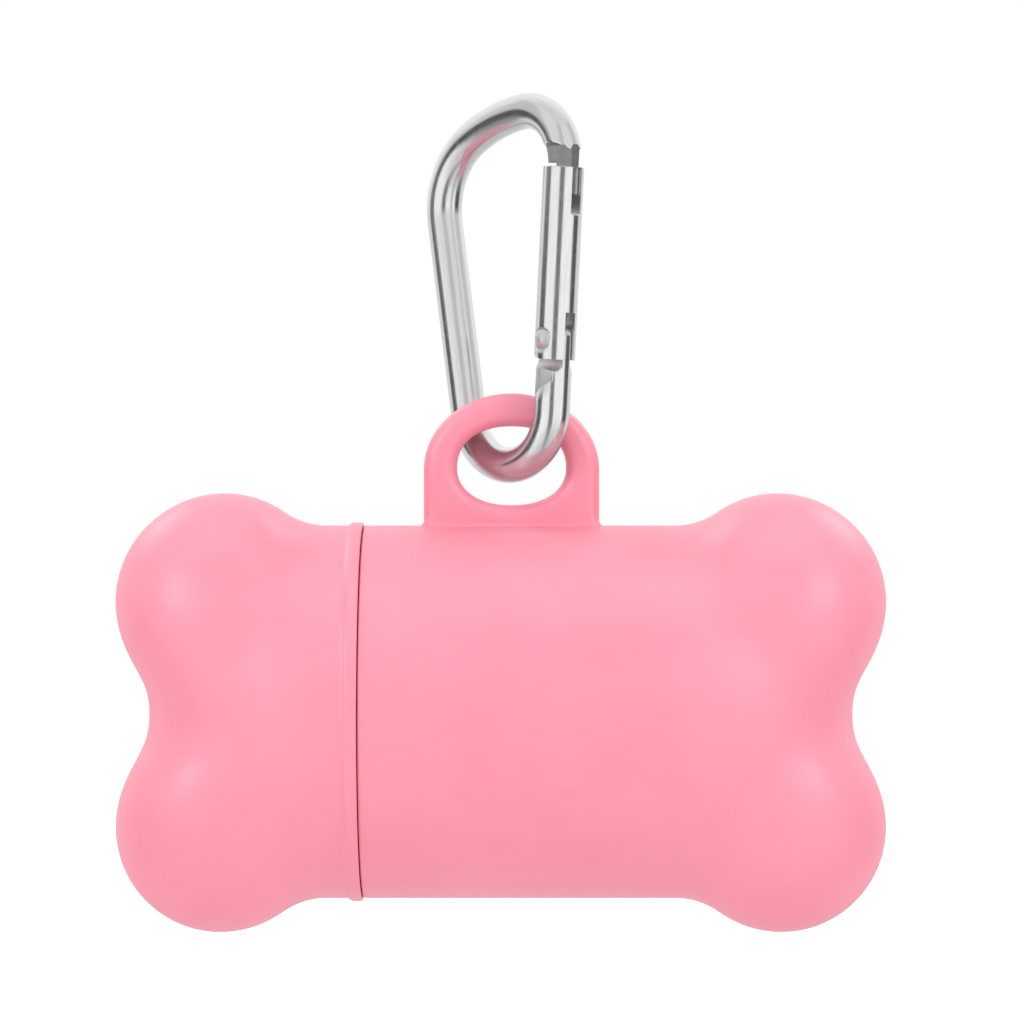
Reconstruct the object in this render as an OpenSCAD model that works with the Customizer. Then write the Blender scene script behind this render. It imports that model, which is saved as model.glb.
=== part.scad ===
// Dog waste bag dispenser: a bone-shaped case that pulls apart at a seam, with
// a roll of bags inside, hanging by its moulded tab from a small carabiner.
// The origin is the inside of the carabiner's top bend, where it hangs.
// The case's axis runs along X, the cap is at -X and the tab points up, +Z.
// Units: millimetres.

/* [Case] */
// outside radius of the round barrel
barrel_radius = 21; // [20:0.5:23]
// thickness of the case wall
wall = 2; // [1.6:0.1:2.2]
// distance of the cap's seam from the middle of the case
seam_offset = 15.45; // [14:0.05:17]
// gap between the cap's rim and the mouth of the body
seam_gap = 0.1; // [0.05:0.05:0.4]

/* [Bone ends] */
// radius of one lobe, seen from the front
lobe_radius = 11.68; // [11.3:0.02:12.1]
// distance of a lobe's centre from the middle of the case
lobe_reach = 31.2; // [30.5:0.1:32.2]
// height of a lobe's centre above or below the axis
lobe_height = 12.95; // [12.5:0.05:13.3]
// half the straight depth of a lobe, front to back
lobe_depth = 6; // [4:0.25:7]
// how far a lobe's ridge bends towards the axis per squared millimetre
lobe_bend = 0.008; // [0:0.001:0.012]
// hollow radius where a lobe runs into the barrel
neck_radius = 8.5; // [8:0.1:10]
// hollow radius of the valley between the two lobes
valley_radius = 11.2; // [10:0.1:13]
// distance over which the lobes melt into the end
melt = 1.65; // [1.2:0.05:2]
// points around each bone end
end_columns = 60; // [40:4:64]
// rows of points from the barrel to the tip
end_rows = 25; // [18:1:27]

/* [Cap fit] */
// how far the cap's plug reaches into the body
plug_length = 8; // [6:0.5:10]
// wall of the plug
plug_wall = 1.25; // [1:0.05:1.4]
// gap all round between plug and barrel
plug_gap = 0.13; // [0.08:0.01:0.25]
// gap left by the friction ring on the plug
ring_gap = 0.03; // [0.02:0.01:0.05]
// length of the friction ring
ring_length = 1.2; // [0.8:0.1:2]
// width of the raised bead round the cap's rim
bead_width = 1.55; // [1:0.05:2.5]
// height of the raised bead over the barrel
bead_height = 0.35; // [0.2:0.05:0.6]
// width of the rib that lines the bone ends up
key_width = 3; // [2:0.1:5]
// depth of the keyway cut in the body's mouth
keyway_depth = 0.7; // [0.5:0.05:0.9]
// gap round the rib in its keyway
key_gap = 0.15; // [0.08:0.01:0.25]

/* [Hanging tab] */
// distance of the tab's middle from the middle of the case
tab_offset = 1.19; // [-2:0.01:4]
// width of the tab
tab_width = 19.8; // [18:0.1:22]
// height of the tab's top above the case's axis
tab_top = 35.9; // [35.5:0.1:37]
// rise of the tab's arched top over its straight sides
arch_rise = 8.6; // [7.6:0.1:9.4]
// thickness of the tab, front to back
tab_thickness = 4; // [3.4:0.1:4.1]
// rounding of the tab's edges
tab_edge = 1.5; // [1.3:0.05:1.6]
// flare of the tab's sides where they meet the barrel
tab_flare = 0.5; // [0.3:0.1:1]
// width of the hole
hole_width = 12.3; // [12:0.1:13]
// height of the hole's top above the case's axis
hole_top = 32.2; // [31.8:0.1:32.5]
// height of the hole's widest line above the case's axis
hole_middle = 27.55; // [27:0.05:28]
// height of the hole's bottom above the case's axis
hole_bottom = 23.3; // [22.9:0.1:23.8]

/* [Bag slot] */
// length of the slot in the back that the bags pull out of
slot_length = 26; // [20:1:28]
// width of the slot
slot_width = 6; // [5:0.25:8]
// distance of the slot's middle from the middle of the case
slot_offset = 7; // [6:0.5:8]

/* [Bag roll] */
// room between the wound bags and the plug's bore, on the radius
roll_play = 2.12; // [2.02:0.02:4.5]
// length of the wound bags
roll_length = 58; // [50:0.5:58.5]
// thickness of the loose outer end of the film
film_end = 0.22; // [0.1:0.01:0.3]
// part of the turn that the loose end covers
film_end_angle = 38; // [20:1:90]
// outside radius of the cardboard core
core_radius = 6.6; // [5:0.1:8]
// wall of the cardboard core
core_wall = 0.9; // [0.6:0.1:1.5]
// how far the core stands out of each side of the roll
core_stand = 0.5; // [0:0.1:0.8]
// gap under the roll where it lies in the plug
roll_gap = 0.15; // [0.1:0.05:0.4]

/* [Carabiner] */
// diameter of the frame's rod
rod = 4; // [3.6:0.1:4.2]
// turn of the carabiner from the case's front
turn = 45; // [40:1:50]
// height of the lower bend's centre above the case's axis
bend_height = 34.5; // [34.2:0.05:34.6]
// shift of the lower bend from the middle of the tab
bend_shift = -0.2; // [-0.5:0.1:0.5]
// rod centre radius of the lower bend
bend_radius = 6.7; // [6.5:0.1:6.9]
// rod centre radius of the upper bend over the gate
crown_radius = 5.3; // [4.8:0.1:5.8]
// distance of the upper bend from the lower one, across
crown_shift = 3.3; // [2.8:0.1:3.8]
// distance of the upper bend from the lower one, up
crown_height = 28; // [27.5:0.25:29]
// lean of the straight back of the frame
back_lean = 9.6; // [8:0.2:11]

/* [Gate] */
// diameter of the gate bar
gate_diameter = 4.6; // [4.3:0.1:4.8]
// distance of the gate's top below the start of the upper bend
gate_short = 0.44; // [0.24:0.02:0.84]
// length of the gate bar below the rivet
gate_tail = 2.3; // [2.2:0.05:2.4]
// distance of the rivet along the gate line from the lower bend
rivet_rise = 7.82; // [7.6:0.02:8.2]
// thickness of the frame's two tongues
tongue = 1.2; // [1:0.05:1.3]
// gap on each side of a tongue in its slot
tongue_gap = 0.1; // [0.06:0.01:0.15]
// length of the upper tongue inside the gate
nose_length = 3; // [2.5:0.1:3.5]
// depth of the gate's upper slot below the tongue
nose_room = 1.2; // [0.8:0.1:1.6]
// fall of that slot's floor towards the outside
slot_fall = 1.1; // [0:0.1:1.5]
// length of the nose's flats above the gate's top
flat_rise = 2.7; // [2.5:0.1:3]
// radius of the cutter's run-out at the upper end of the nose's flats
flat_round = 4; // [3.6:0.1:6]
// gap between the gate's top and the end of the round rod
nose_gap = 0.2; // [0.18:0.01:0.4]
// height of the lower tongue's cam top over the rivet
cam_height = 1.36; // [1.3:0.02:1.5]
// rounding of the cam's two corners
cam_round = 1; // [0.8:0.05:1.1]
// diameter of the rivet's shank
rivet_shank = 1.4; // [1.2:0.05:1.5]
// diameter of the rivet's heads
rivet_head = 2.3; // [2:0.05:2.4]
// height of the rivet's domed heads
rivet_dome = 0.7; // [0.5:0.05:0.9]
// gap round the rivet's shank in the frame's tongue
rivet_gap = 0.05; // [0.03:0.01:0.08]
// depth of the flats the rivet's heads sit on
rivet_flat = 0.25; // [0.2:0.05:0.35]

/* [Gate spring] */
// diameter of the blind bore in the gate
bore = 1.9; // [1.8:0.05:2]
// metal left between the bore's end and the gate's upper slot
bore_floor = 2.1; // [1.7:0.1:3]
// diameter of the plunger
plunger = 1.7; // [1.6:0.05:1.75]
// length of the plunger's thick part
plunger_length = 4.6; // [4:0.1:5]
// gap between the plunger and the cam
plunger_gap = 0.04; // [0.02:0.01:0.08]
// diameter of the spring wire
wire = 0.26; // [0.2:0.02:0.28]
// number of turns of the spring
coils = 9; // [6:1:10]

/* [Hidden] */

pink = [0.976, 0.606, 0.686];
bright_metal = [0.82, 0.83, 0.84];
steel = [0.66, 0.67, 0.69];
film_green = [0.26, 0.43, 0.33];
cardboard = [0.72, 0.60, 0.45];

// Bone outline: arcs that run into each other, rolled out from one point on
// the axis, which is where the barrel ends and the neck begins.
barrel_bore = barrel_radius - wall;
neck_z = barrel_radius + neck_radius;
neck_drop = neck_z - lobe_height;
neck_x = lobe_reach - sqrt(pow(neck_radius + lobe_radius, 2) - neck_drop * neck_drop);
valley_x = lobe_reach + sqrt(pow(valley_radius + lobe_radius, 2) - lobe_height * lobe_height);
lobe_dx = lobe_reach - neck_x;
valley_dx = valley_x - neck_x;
tip_reach = valley_dx - valley_radius;
end_length = barrel_radius - 1;
nearest = end_length * 0.4;
farthest = end_length * 2;
neck_share = neck_radius / (neck_radius + lobe_radius);
valley_share = valley_radius / (valley_radius + lobe_radius);
neck_angle = atan2(neck_z - neck_share * neck_drop, lobe_dx * neck_share);
valley_angle = atan2(
    lobe_height * valley_share, valley_dx - (valley_dx - lobe_dx) * valley_share);

// Cap fit
plug_radius = barrel_bore - plug_gap;
plug_bore = plug_radius - plug_wall;
plug_end = -seam_offset + plug_length;
flange_start = -seam_offset - 2.6;
keyway_radius = barrel_bore + keyway_depth;
keyway_length = plug_length + 1;

// The roll lies on the bottom of the plug's bore.
roll_radius = plug_bore - roll_play;
roll_drop = plug_bore - roll_radius - film_end - roll_gap;

// Carabiner, in its own plane: the lower bend's centre is the zero point.
span = norm([crown_shift, crown_height]);
centre_lean = atan2(crown_shift, crown_height);
gate_lean = centre_lean - asin((bend_radius - crown_radius) / span);
apex = crown_height + crown_radius;
back_sum = cos(back_lean) * crown_shift + sin(back_lean) * apex + bend_radius;
shoulder_radius = back_sum / (1 + sin(back_lean));
shoulder_v = apex - shoulder_radius;
back_low = [-bend_radius * cos(back_lean), -bend_radius * sin(back_lean)];
back_high = [
    crown_shift - shoulder_radius * cos(back_lean),
    shoulder_v - shoulder_radius * sin(back_lean),
];
gate_low = [bend_radius * cos(gate_lean), -bend_radius * sin(gate_lean)];
gate_high = [
    crown_shift + crown_radius * cos(gate_lean),
    crown_height - crown_radius * sin(gate_lean),
];
gate_way = [sin(gate_lean), cos(gate_lean)];
gate_reach = norm(gate_high - gate_low) - rivet_rise - gate_short;
slot_low = gate_reach - nose_length - nose_room;
bore_reach = slot_low - bore_floor;
rivet_at = gate_low + rivet_rise * gate_way;
rod_radius = rod / 2;
gate_radius = gate_diameter / 2;
slot_half = tongue / 2 + tongue_gap;
frame_stop = gate_tail + 0.4;
flat_top = gate_reach + flat_rise;
floor_u = -0.75;
nose_u = floor_u + 0.15;
tongue_half = sqrt(rod_radius * rod_radius - tongue * tongue / 4) - 0.02;
joint_half = 0.25;
head_seat = gate_radius - rivet_flat;

// The hanging point is the inside of the top bend.
hook_v = apex - rod_radius;
hook = [
    tab_offset + bend_shift + crown_shift * cos(turn),
    -crown_shift * sin(turn),
    bend_height + hook_v,
];

// Puts the case, with its axis on X, below the hanging point.
module hung() {
    translate(-hook)
        children();
}

// Puts a shape drawn in the carabiner's plane, with X across and Y up.
module carabiner_plane() {
    hung()
        translate([tab_offset + bend_shift, 0, bend_height])
            rotate([0, 0, -turn])
                rotate([90, 0, 0])
                    children();
}

// Puts a shape drawn at the rivet, with Y along the gate and X outwards.
module gate_place() {
    carabiner_plane()
        translate([rivet_at.x, rivet_at.y, 0])
            rotate([0, 0, -gate_lean])
                children();
}

// ---- Bone end ----

// Distance from the end's centre to a circle, near or far side, along angle a.
function circle_hit(cx, cz, r, a, side) =
    let (
        along = cx * cos(a) + cz * sin(a),
        off = cx * cx + cz * cz - r * r
    )
    along + side * sqrt(max(along * along - off, 0));

// Reach of the bone's front outline at angle a from the axis.
function outline_reach(a) =
    a < valley_angle ? circle_hit(valley_dx, 0, valley_radius, a, -1)
    : a < neck_angle ? circle_hit(lobe_dx, lobe_height, lobe_radius, a, 1)
    : circle_hit(0, neck_z, neck_radius, a, -1);

// Distance outside one rounded lobe that lies front to back.
function lobe_field(x, y, z, side) =
    let (
        past = max(abs(y) - lobe_depth, 0),
        centre = side * (lobe_height - lobe_bend * y * y)
    )
    norm([x - lobe_reach, past, z - centre]) - lobe_radius;

// Distance outside the melted end: a round nose and two lobes.
function end_field(x, y, z) =
    let (
        ahead = max(x - neck_x, 0) / end_length,
        nose = (norm([ahead, norm([y, z]) / barrel_radius]) - 1) * barrel_radius,
        upper = lobe_field(x, y, z, 1),
        lower = lobe_field(x, y, z, -1)
    )
    -melt * ln(exp(-nose / melt) + exp(-upper / melt) + exp(-lower / melt));

// Reach of the surface at a depth inside the field, found by halving.
function field_reach(a, b, depth, low = nearest, high = farthest, steps = 15) =
    steps == 0 ? (low + high) / 2
    : let (
        mid = (low + high) / 2,
        out = mid * sin(a),
        value = end_field(neck_x + mid * cos(a), out * sin(b), out * cos(b))
    )
    value < -depth ? field_reach(a, b, depth, mid, high, steps - 1)
    : field_reach(a, b, depth, low, mid, steps - 1);

function ease(t) = let (c = min(max(t, 0), 1)) c * c * (3 - 2 * c);

// One point on the end, given the row's front correction and the column's
// reach at the barrel.
function end_point(a, b, depth, front, at_barrel, at_tip) =
    let (
        raw = field_reach(a, b, depth) + cos(b) * cos(b) * front,
        to_barrel = ease((a - 50) / 40) * (barrel_radius - depth - at_barrel),
        to_tip = ease(1 - a / 25) * (tip_reach - depth - at_tip),
        reach = raw + to_barrel + to_tip
    )
    [neck_x + reach * cos(a), reach * sin(a) * sin(b), reach * sin(a) * cos(b)];

// Rings of points from the barrel to the tip, and the tip itself.
function end_rings(depth, rows) =
    let (
        low = outline_reach(90) - field_reach(90, 0, 0),
        tip = outline_reach(0) - field_reach(0, 0, 0),
        bottom = [
            for (j = [0:end_columns - 1])
                let (b = 360 * j / end_columns)
                field_reach(90, b, depth) + cos(b) * cos(b) * low
        ]
    )
    [
        for (i = [0:rows - 1])
            let (
                a = 90 * (1 - i / rows),
                front = outline_reach(a) - field_reach(a, 0, 0)
            )
            for (j = [0:end_columns - 1])
                let (b = 360 * j / end_columns)
                end_point(a, b, depth, front, bottom[j], field_reach(0, 0, depth) + tip)
    ];

// Closed skin of one bone end at +X: outside, inside and the ring between.
// It reaches a little way into the barrel's wall, just under its skin.
module bone_end() {
    inner_rows = end_rows - 9;
    sink = 0.5;
    tuck = 0.03;
    outer = end_rings(0, end_rows);
    inner = end_rings(wall, inner_rows);
    n = end_columns;
    shrink = (barrel_radius - tuck) / barrel_radius;
    grow = (barrel_bore + tuck) / barrel_bore / cos(180 / n);
    outer_first = [for (j = [0:n - 1]) [neck_x - sink, outer[j].y * shrink, outer[j].z * shrink]];
    inner_first = [for (j = [0:n - 1]) [neck_x - sink, inner[j].y * grow, inner[j].z * grow]];
    outer_next = [for (j = [0:n - 1]) [neck_x, outer[j].y * shrink, outer[j].z * shrink]];
    inner_next = [for (j = [0:n - 1]) [neck_x, inner[j].y * grow, inner[j].z * grow]];
    outer_rest = [for (k = [n:len(outer) - 1]) outer[k]];
    inner_rest = [for (k = [n:len(inner) - 1]) inner[k]];
    tips = [[neck_x + tip_reach, 0, 0], [neck_x + tip_reach - wall, 0, 0]];
    points = concat(
        outer_first, outer_next, outer_rest, inner_first, inner_next, inner_rest, tips);
    outer_tip = len(points) - 2;
    inner_tip = len(points) - 1;
    inner_start = (end_rows + 1) * n;
    outer_last = end_rows * n;
    inner_last = inner_start + inner_rows * n;
    outer_faces = [
        for (i = [0:end_rows - 1])
            for (j = [0:n - 1])
                let (k = (j + 1) % n, p = i * n, q = p + n)
                each [[p + j, p + k, q + k], [p + j, q + k, q + j]]
    ];
    inner_faces = [
        for (i = [0:inner_rows - 1])
            for (j = [0:n - 1])
                let (k = (j + 1) % n, p = inner_start + i * n, q = p + n)
                each [[p + k, p + j, q + k], [q + k, p + j, q + j]]
    ];
    tip_faces = [
        for (j = [0:n - 1])
            let (k = (j + 1) % n)
            each [
                [outer_last + j, outer_last + k, outer_tip],
                [inner_last + k, inner_last + j, inner_tip],
            ]
    ];
    ring_faces = [
        for (j = [0:n - 1])
            let (k = (j + 1) % n)
            each [
                [k, j, inner_start + j],
                [k, inner_start + j, inner_start + k],
            ]
    ];
    polyhedron(points, concat(outer_faces, inner_faces, tip_faces, ring_faces), convexity = 8);
}

// Straight tube along X from one place to another.
module tube_x(from, to, outer, inner) {
    translate([from, 0, 0])
        rotate([0, 90, 0])
            difference() {
                cylinder(h = to - from, r = outer, $fn = 128);
                translate([0, 0, -1])
                    cylinder(h = to - from + 2, r = inner, $fn = 128);
            }
}

// ---- Hanging tab ----

// Half width of the tab at a height above the case's axis, with its flare.
function tab_side(z) =
    let (low = min(max(barrel_radius + tab_flare - z, 0), tab_flare))
    tab_width / 2 + tab_flare - sqrt(tab_flare * tab_flare - low * low);

// Point of the tab's outline along angle a from the middle of the hole.
function tab_outer(a) =
    let (
        foot = barrel_radius - 1.4,
        arch_base = tab_top - arch_rise - hole_middle,
        half = tab_width / 2,
        dx = cos(a),
        dz = sin(a),
        qa = pow(dx / half, 2) + pow(dz / arch_rise, 2),
        qb = dz * arch_base / arch_rise / arch_rise,
        qc = pow(arch_base / arch_rise, 2) - 1,
        arch_t = (qb + sqrt(max(qb * qb - qa * qc, 0))) / qa,
        side_t = half / max(abs(dx), 0.001),
        foot_t = (foot - hole_middle) / min(dz, -0.001),
        on_arch = dz * arch_t > arch_base,
        side_z = hole_middle + dz * side_t
    )
    on_arch ? [dx * arch_t, hole_middle + dz * arch_t]
    : side_z > foot ? [sign(dx) * tab_side(side_z), side_z]
    : [dx * foot_t, foot];

// Point of the hole's outline, a slightly squared oval.
function hole_outer(a) =
    let (
        squared = 2 / 2.2,
        rise = sin(a) > 0 ? hole_top - hole_middle : hole_middle - hole_bottom,
        px = sign(cos(a)) * pow(abs(cos(a)), squared),
        pz = sign(sin(a)) * pow(abs(sin(a)), squared)
    )
    [hole_width / 2 * px, hole_middle + rise * pz];

// Rounded plate round the hole: a rounded profile swept round its middle.
module tab_ring() {
    n = 64;
    corner = 4;
    m = 4 * corner;
    core = tab_thickness / 2 - tab_edge;
    points = [
        for (i = [0:n - 1])
            let (
                a = 360 * (i + 0.5) / n,
                inside = hole_outer(a),
                way = inside - [0, hole_middle],
                outside = tab_outer(atan2(way.y, way.x)),
                length = norm(outside - inside),
                along = (outside - inside) / length
            )
            for (c = [0:3])
                for (s = [0:corner - 1])
                    let (
                        b = 90 * c + 90 * s / (corner - 1),
                        far = c == 0 || c == 3,
                        mid = far ? length - tab_edge : tab_edge,
                        reach = mid + tab_edge * cos(b),
                        side = (c < 2 ? core : -core) + tab_edge * sin(b)
                    )
                    [
                        tab_offset + inside.x + along.x * reach,
                        side,
                        inside.y + along.y * reach,
                    ]
    ];
    faces = [
        for (i = [0:n - 1])
            for (j = [0:m - 1])
                let (
                    p = i * m,
                    q = ((i + 1) % n) * m,
                    k = (j + 1) % m
                )
                each [[p + j, q + j, q + k], [p + j, q + k, p + k]]
    ];
    polyhedron(points, faces, convexity = 6);
}

// ---- Case ----

// Slot with round ends through the back of the barrel.
module bag_slot() {
    reach = (slot_length - slot_width) / 2;
    over = 2 * wall;
    translate([slot_offset, barrel_bore - over, 0])
        rotate([-90, 0, 0])
            linear_extrude(height = wall + 2 * over) {
                square([2 * reach, slot_width], center = true);
                for (side = [-1, 1])
                    translate([side * reach, 0])
                        circle(d = slot_width, $fn = 48);
            }
}

module main_body() {
    color(pink)
        hung()
            difference() {
                union() {
                    tube_x(-seam_offset, neck_x, barrel_radius, barrel_bore);
                    bone_end();
                    tab_ring();
                }
                bag_slot();
                translate([-seam_offset - 1, -key_width / 2 - key_gap, -keyway_radius])
                    cube([keyway_length + 1, key_width + 2 * key_gap, keyway_depth + 2]);
            }
}

// Rib on the plug that runs in the body's keyway.
module lining_rib() {
    translate([-seam_offset - 0.5, -key_width / 2, -keyway_radius + key_gap])
        cube([plug_length, key_width, keyway_depth + plug_gap + plug_wall / 2 - key_gap]);
}

module end_cap() {
    rim = -seam_offset - seam_gap;
    color(pink)
        hung()
            union() {
                mirror([1, 0, 0])
                    bone_end();
                tube_x(-neck_x, rim, barrel_radius, barrel_bore);
                tube_x(rim - bead_width, rim, barrel_radius + bead_height, plug_bore);
                tube_x(flange_start, plug_end, plug_radius, plug_bore);
                tube_x(plug_end - 2.6, plug_end - 2.6 + ring_length, barrel_bore - ring_gap, plug_bore);
                lining_rib();
            }
}

// ---- Bag roll ----

module roll_core() {
    half = roll_length / 2 + core_stand;
    color(cardboard)
        hung()
            translate([0, 0, -roll_drop])
                tube_x(-half, half, core_radius, core_radius - core_wall);
}

module bag_roll() {
    half = roll_length / 2;
    color(film_green)
        hung()
            translate([0, 0, -roll_drop])
                union() {
                    tube_x(-half, half, roll_radius, core_radius);
                    rotate([0, 90, 0])
                        rotate([0, 0, 150])
                            rotate_extrude(angle = film_end_angle, $fn = 128)
                                translate([roll_radius - 0.3, -half])
                                    square([film_end + 0.3, roll_length]);
                }
}

// ---- Carabiner ----

// Bent length of rod about a centre in the carabiner's plane. Each end that
// runs on into another length stops short by the joint's half length.
module rod_arc(centre, radius, from, to, run_on = 1) {
    trim = joint_half / radius * 180 / PI;
    translate([centre.x, centre.y, 0])
        rotate([0, 0, from + trim * run_on])
            rotate_extrude(angle = to - from - trim * (1 + run_on), $fn = 96)
                translate([radius, 0])
                    circle(d = rod, $fn = 48);
}

// Straight length of rod between two places in the carabiner's plane.
module rod_line(from, to, run_on = 1) {
    way = to - from;
    translate([from.x, from.y, 0])
        rotate([0, 0, atan2(way.y, way.x)])
            translate([joint_half, 0, 0])
                rotate([0, 90, 0])
                    cylinder(h = norm(way) - joint_half * (1 + run_on), d = rod, $fn = 48);
}

// Short piece that carries the rod on across a joint. It is a hair thinner
// than the rod, so that no two round faces lie on each other.
module rod_joint(at, lean) {
    translate([at.x, at.y, 0])
        rotate([0, 0, lean])
            rotate([90, 0, 0])
                cylinder(h = 3.6 * joint_half, d = rod - 0.06, center = true, $fn = 48);
}

// Tongue at the rivet: its top is the cam that the plunger rides on.
module cam_tongue() {
    inset = tongue_half - cam_round;
    difference() {
        translate([0, 0, -tongue / 2])
            linear_extrude(height = tongue) {
                translate([-tongue_half, -frame_stop - 0.6])
                    square([2 * tongue_half, frame_stop + 0.6 + cam_height - cam_round]);
                translate([-inset, 0])
                    square([2 * inset, cam_height]);
                for (side = [-1, 1])
                    translate([side * inset, cam_height - cam_round])
                        circle(r = cam_round, $fn = 48);
            }
        translate([0, 0, -rod])
            cylinder(h = 2 * rod, d = rivet_shank + 2 * rivet_gap, $fn = 48);
    }
}

// Tongue that the gate's upper slot closes over.
module nose_tongue() {
    low = gate_reach - nose_length;
    tip_round = 0.7;
    translate([0, 0, -tongue / 2])
        linear_extrude(height = tongue) {
            translate([nose_u, low + tip_round])
                square([tongue_half - nose_u, nose_length + 1 - tip_round]);
            translate([nose_u + tip_round, low + tip_round])
                circle(r = tip_round, $fn = 48);
            translate([nose_u + tip_round, low])
                square([tongue_half - nose_u - tip_round, tip_round + 0.1]);
        }
}

// Flats milled on both sides of the rod so that a tongue is left. The cutter
// leaves a straight end, or a round one about a place on the given side.
module flats(from, to, half, round = 0, side_u = 0) {
    for (side = [0, 1])
        mirror([0, 0, side])
            translate([0, 0, half])
                linear_extrude(height = rod)
                    intersection() {
                        translate([-rod, from])
                            square([2 * rod, to - from]);
                        if (round > 0)
                            translate([side_u, to - round])
                                circle(r = round, $fn = 96);
                        else
                            translate([-rod, from])
                                square([2 * rod, to - from]);
                    }
}

module carabiner_frame() {
    color(bright_metal) {
        difference() {
            carabiner_plane() {
                rod_arc([0, 0], bend_radius, 180 + back_lean, 360 - gate_lean);
                rod_joint(back_low, back_lean);
                rod_line(back_low, back_high);
                rod_joint(back_high, back_lean);
                rod_arc([crown_shift, shoulder_v], shoulder_radius, 90, 180 + back_lean);
                rod_joint([crown_shift, apex], 90);
                rod_arc([crown_shift, crown_height], crown_radius, -gate_lean, 90, 0);
                rod_joint(gate_low, -gate_lean);
                rod_line(gate_low, rivet_at - frame_stop * gate_way, 0);
            }
            gate_place() {
                flats(-frame_stop - 1.9, -frame_stop + 1, 1.6);
                flats(gate_reach - 0.5, flat_top, tongue / 2, flat_round, nose_u);
            }
        }
        gate_place() {
            cam_tongue();
            nose_tongue();
        }
    }
}

// Flat outline of the gate: square above, rounded about the rivet at its
// inner lower corner so that it clears the frame as it opens.
module gate_outline() {
    translate([-gate_radius, 0])
        square([gate_diameter, gate_reach]);
    translate([0, -gate_tail])
        square([gate_radius, gate_tail + 0.1]);
    intersection() {
        circle(r = gate_radius, $fn = 64);
        translate([-gate_radius, -gate_radius])
            square([gate_diameter, gate_diameter]);
    }
}

// Slot that the gate closes with over the upper tongue. Its floor falls
// towards the outside, where the saw came in.
module upper_slot() {
    lip = bore / 2;
    outside = gate_radius + 1;
    fall = slot_fall * (outside - lip) / (gate_radius - lip);
    translate([0, 0, -slot_half])
        linear_extrude(height = 2 * slot_half)
            polygon([
                [floor_u, gate_reach + 1],
                [floor_u, slot_low],
                [lip, slot_low],
                [outside, slot_low - fall],
                [outside, gate_reach + 1],
            ]);
}

module carabiner_gate() {
    color(bright_metal)
        gate_place()
            difference() {
                intersection() {
                    translate([0, -gate_tail - 0.5, 0])
                        rotate([-90, 0, 0])
                            cylinder(h = gate_reach + gate_tail + 0.5, d = gate_diameter, $fn = 64);
                    translate([0, 0, -gate_diameter])
                        linear_extrude(height = 2 * gate_diameter)
                            gate_outline();
                }
                translate([-gate_diameter, -gate_diameter, -slot_half])
                    cube([2 * gate_diameter, gate_diameter + cam_height + 1.9, 2 * slot_half]);
                upper_slot();
                rotate([-90, 0, 0])
                    cylinder(h = bore_reach, d = bore, $fn = 32);
                translate([0, 0, -gate_diameter])
                    cylinder(h = 2 * gate_diameter, d = rivet_shank, $fn = 48);
                for (side = [0, 1])
                    mirror([0, 0, side])
                        translate([0, 0, head_seat])
                            cylinder(h = 2, d = rivet_head + 0.2, $fn = 48);
            }
}

module gate_rivet() {
    head = rivet_head / 2;
    dome = (head * head + rivet_dome * rivet_dome) / (2 * rivet_dome);
    color(bright_metal)
        gate_place()
            union() {
                translate([0, 0, -head_seat - 0.1])
                    cylinder(h = 2 * head_seat + 0.2, d = rivet_shank, $fn = 48);
                for (side = [0, 1])
                    mirror([0, 0, side])
                        intersection() {
                            translate([0, 0, head_seat + rivet_dome - dome])
                                sphere(r = dome, $fn = 48);
                            translate([0, 0, head_seat])
                                cylinder(h = 2, r = head, $fn = 48);
                        }
            }
}

plunger_foot = cam_height + plunger_gap;
plunger_top = plunger_foot + plunger_length;
spring_mean = plunger / 2 - wire / 2 - 0.04;

module gate_plunger() {
    edge = 0.2;
    spigot = spring_mean - wire / 2 - 0.08;
    color(steel)
        gate_place()
            rotate([-90, 0, 0])
                translate([0, 0, plunger_foot]) {
                    cylinder(h = edge, d1 = plunger - 2 * edge, d2 = plunger, $fn = 48);
                    translate([0, 0, edge])
                        cylinder(h = plunger_length - edge, d = plunger, $fn = 48);
                    translate([0, 0, plunger_length])
                        cylinder(h = 1.4, r = spigot, $fn = 32);
                }
}

// Coil spring: a round wire swept along a helix, with its end turns closed up.
module gate_spring() {
    steps = 14;
    sides = 6;
    low = plunger_top + wire / 2 + 0.02;
    high = bore_reach - wire / 2 - 0.02;
    closed = wire * 1.05;
    count = coils * steps;
    open = (high - low - 2 * closed) / (coils - 2);
    centres = [
        for (i = [0:count])
            let (
                turn_at = i / steps,
                rise = turn_at < 1 ? turn_at * closed
                    : turn_at > coils - 1 ? high - low - (coils - turn_at) * closed
                    : closed + (turn_at - 1) * open
            )
            [turn_at * 360, low + rise]
    ];
    points = [
        for (c = centres)
            for (k = [0:sides - 1])
                let (
                    b = 360 * k / sides,
                    r = spring_mean + wire / 2 * cos(b)
                )
                [r * cos(c[0]), c[1] + wire / 2 * sin(b), r * sin(c[0])]
    ];
    side_faces = [
        for (i = [0:count - 1])
            for (k = [0:sides - 1])
                let (
                    p = i * sides,
                    q = p + sides,
                    n = (k + 1) % sides
                )
                each [[p + n, p + k, q + n], [q + n, p + k, q + k]]
    ];
    last = count * sides;
    end_faces = [
        [for (k = [0:sides - 1]) k],
        [for (k = [sides - 1:-1:0]) last + k],
    ];
    color(steel)
        gate_place()
            polyhedron(points, concat(side_faces, end_faces), convexity = 10);
}

carabiner_frame();
carabiner_gate();
gate_rivet();
gate_plunger();
gate_spring();
main_body();
end_cap();
roll_core();
bag_roll();
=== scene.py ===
import math

import bmesh
import bpy
import numpy as np
from mathutils import Matrix, Vector


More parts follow.
